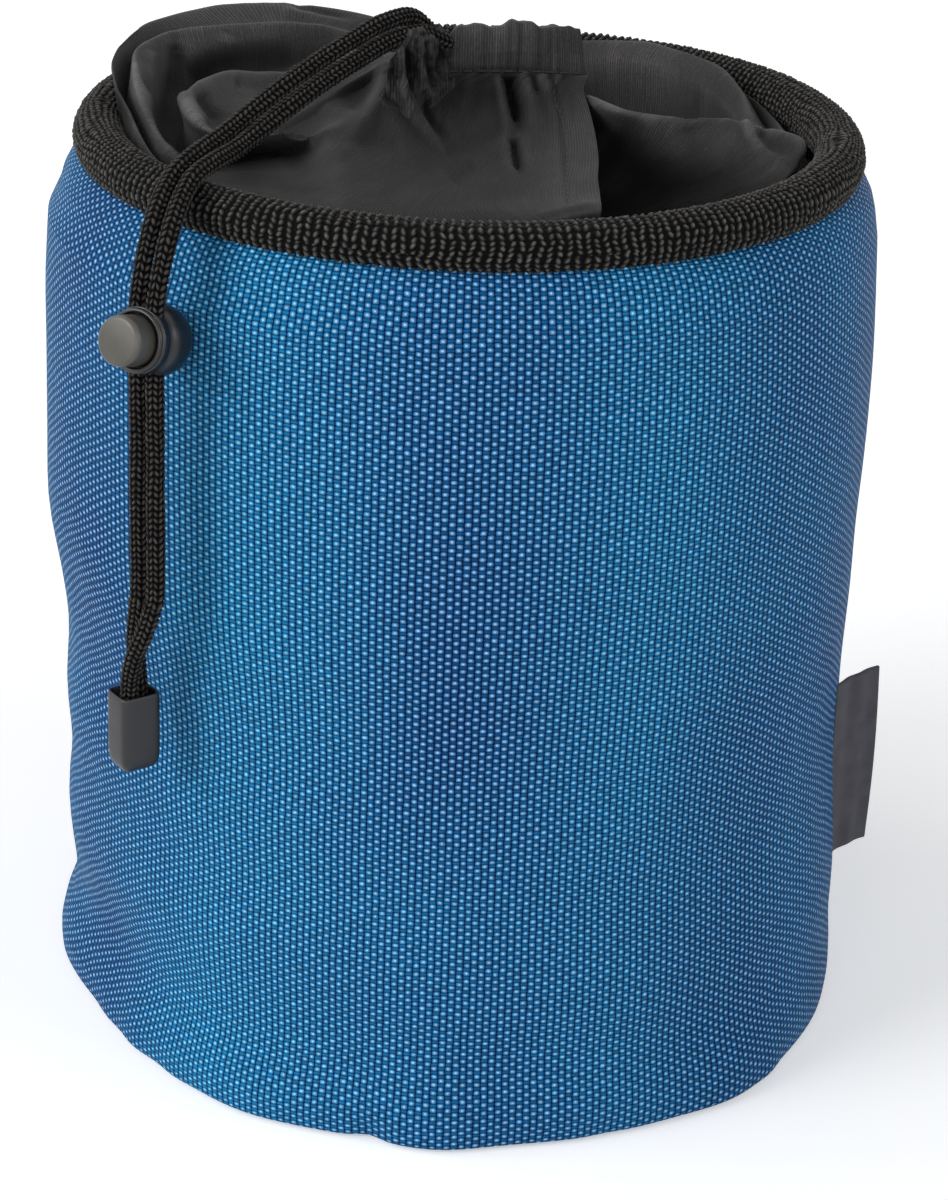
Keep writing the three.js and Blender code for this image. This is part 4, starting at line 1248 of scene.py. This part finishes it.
nylon_mat = nylon()
thread_mat = plastic("thread", rgba(14, 14, 14), 0.7)
collar, collar_pts, collar_t = make_collar()
casing = make_casing()
mouth = make_mouth(collar_pts, collar_t)
make_ring()
seams = make_seams(collar_pts)


# Cord lock, button and cord end


def make_lock():
    """The ball with its open collar, and the button in it."""
    lean = np.linspace(-math.pi / 2, math.acos(LOCK_LIP / LOCK_R), 30)[:-1]
    ball = list(zip(LOCK_R * np.cos(lean), LOCK_R * np.sin(lean)))
    lip = [(6.35, 5.2), (LOCK_LIP, 6.3), (6.05, 6.7), (5.6, 6.8), (5.35, 6.5), (5.3, 5.0), (5.3, 2.0)]
    body = turned("lock_ball", ball + lip, LOCK, LOCK_AZIMUTH, LOCK_TILT)
    thicken(body, LOCK_WALL, -1)
    rounded = [(0, -1.1), (-0.1, -0.5), (-0.45, -0.1), (-1, 0), (-BUTTON_R, 0.02)]
    crown = [(BUTTON_R + out, BUTTON_REACH + up) for out, up in rounded]
    profile = [(0, BUTTON_FOOT), (BUTTON_R, BUTTON_FOOT), *crown]
    button = turned("lock_button", profile, LOCK, LOCK_AZIMUTH, LOCK_TILT)
    grey = plastic("plastic_button", rgba(78, 76, 70), 0.34)
    dark = plastic("plastic_ball", rgba(24, 24, 27), 0.3)
    placed(button, "button", "plastic", grey, "cord_lock_button")
    return placed(body, "lock", "plastic", dark, "cord_lock_body"), button


def make_cord_end(around=48):
    """The moulded end: rounded outside, and open at the top for the cord."""
    wide, deep, tall = END_SIZE
    heights = [0.0, 0.15, 0.6, 1.4, 2.6, 4.5, 8, 12, 15.6, 16.4, 16.85, tall]
    shares = [0.42, 0.62, 0.8, 0.91, 0.975, 1.0, 1.0, 1.0, 1.0, 0.995, 0.98, 0.95]
    heights += [tall, 16.7, 12, 4, 3.6]
    shares += [0.9, 0.86, 0.84, 0.8, 0.4]
    share, z = np.array(shares)[:, None], np.array(heights)[:, None]
    turn = circle(around)
    x = share * wide / 2 * squared(np.cos(turn), 0.32)
    y = share * deep / 2 * squared(np.sin(turn), 0.32)
    c, s = math.cos(END_TURN), math.sin(END_TURN)
    pts = np.stack([c * x - s * y, s * x + c * y, np.broadcast_to(z, x.shape)], axis=-1) + np.array(END)
    ob = tube_piece("cord_end_case", pts, np.zeros((len(heights), around + 1, 2)))
    return placed(ob, "tail", "plastic", plastic("plastic_end", rgba(30, 30, 32), 0.42), "cord_end")


lock_ball, lock_button = make_lock()
end_case = make_cord_end()


# The label


def make_label(rows=60):
    low, high = (corner[2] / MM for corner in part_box("side_label"))
    path, length = even_path([(x, y, 0) for x, y in LABEL_LINE], 0.4)
    z = np.linspace(low, high, rows)
    share = np.linspace(0, 1, len(path))[:, None]
    bend = LABEL_BEND * np.sin(np.linspace(0, 3.2, rows)) * share
    pts = np.stack([path[:, :1] + bend, path[:, 1:2] - 0.6 * bend, z + 0.4 * share], axis=-1)
    uv = np.stack(np.meshgrid(share[:, 0] * length, z, indexing="ij"), axis=-1)
    ob = grid_piece("label", pts, uv)
    thicken(ob, LABEL_THICK)
    return placed(ob, "bag", "label_cloth", label_cloth(), "side_label")


make_label()


# What stays of the CAD model gets its material


def dress(node, look):
    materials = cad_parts[node].data.materials
    materials.clear()
    materials.append(look)


dress("base_panel", wall.data.materials[0])
dress("base_board", plastic("board", rgba(85, 88, 92), 0.5))
dress("base_seam_tape", rim.data.materials[0])
dress("side_seam_tape", rim.data.materials[0])
dress("cord_knot", braid_mat)
dress("cord_lock_spring", plastic("steel", rgba(150, 150, 152), 0.3))


# Floor, lamps and world


def make_floor():
    half = FLOOR_HALF / MM
    verts = [(-half, -half, 0), (half, -half, 0), (half, half, 0), (-half, half, 0)]
    floor = mesh_piece("floor", verts, [(0, 1, 2, 3)], shade=False)
    floor.location.z = -FLOOR_DROP
    m = material("floor")
    m.set(Base_Color=(0.95, 0.95, 0.95, 1), Roughness=0.9, Specular_IOR_Level=0.0)
    m.set(Emission_Color=WHITE, Emission_Strength=m.math("MULTIPLY", m.seen(), FLOOR_GLOW))
    floor.data.materials.append(m.owner)


def make_sun(name, azimuth, height, spread, strength):
    """A far lamp, seen from the bag at a compass angle and a height in degrees."""
    lamp = bpy.data.lights.new(name, "SUN")
    lamp.angle = math.radians(spread)
    lamp.energy = strength
    ob = bpy.data.objects.new(name, lamp)
    a, h = math.radians(azimuth), math.radians(height)
    way = Vector((math.cos(a) * math.cos(h), math.sin(a) * math.cos(h), math.sin(h)))
    ob.rotation_euler = way.to_track_quat("Z", "Y").to_euler()
    bpy.context.scene.collection.objects.link(ob)


def make_world():
    """A white background, and a soft sky that lights the bag."""
    world = bpy.data.worlds.new("studio")
    bpy.context.scene.world = world
    m = Nodes(world)
    sky = m.new("ShaderNodeBackground")
    white = m.tree.nodes["Background"]
    for shader, color, strength in ((sky, SKY_COLOR, SKY_LIGHT), (white, WHITE, 1.0)):
        m.put(color, shader.inputs["Color"])
        m.put(strength, shader.inputs["Strength"])
    mixed = m.new("ShaderNodeMixShader")
    for value, socket in zip((m.seen(), sky.outputs[0], white.outputs[0]), mixed.inputs):
        m.put(value, socket)
    m.put(mixed.outputs[0], m.tree.nodes["World Output"].inputs["Surface"])


make_floor()
make_world()
for lamp in SUNS:
    make_sun(*lamp)

bpy.context.scene.view_settings.view_transform = "Standard"
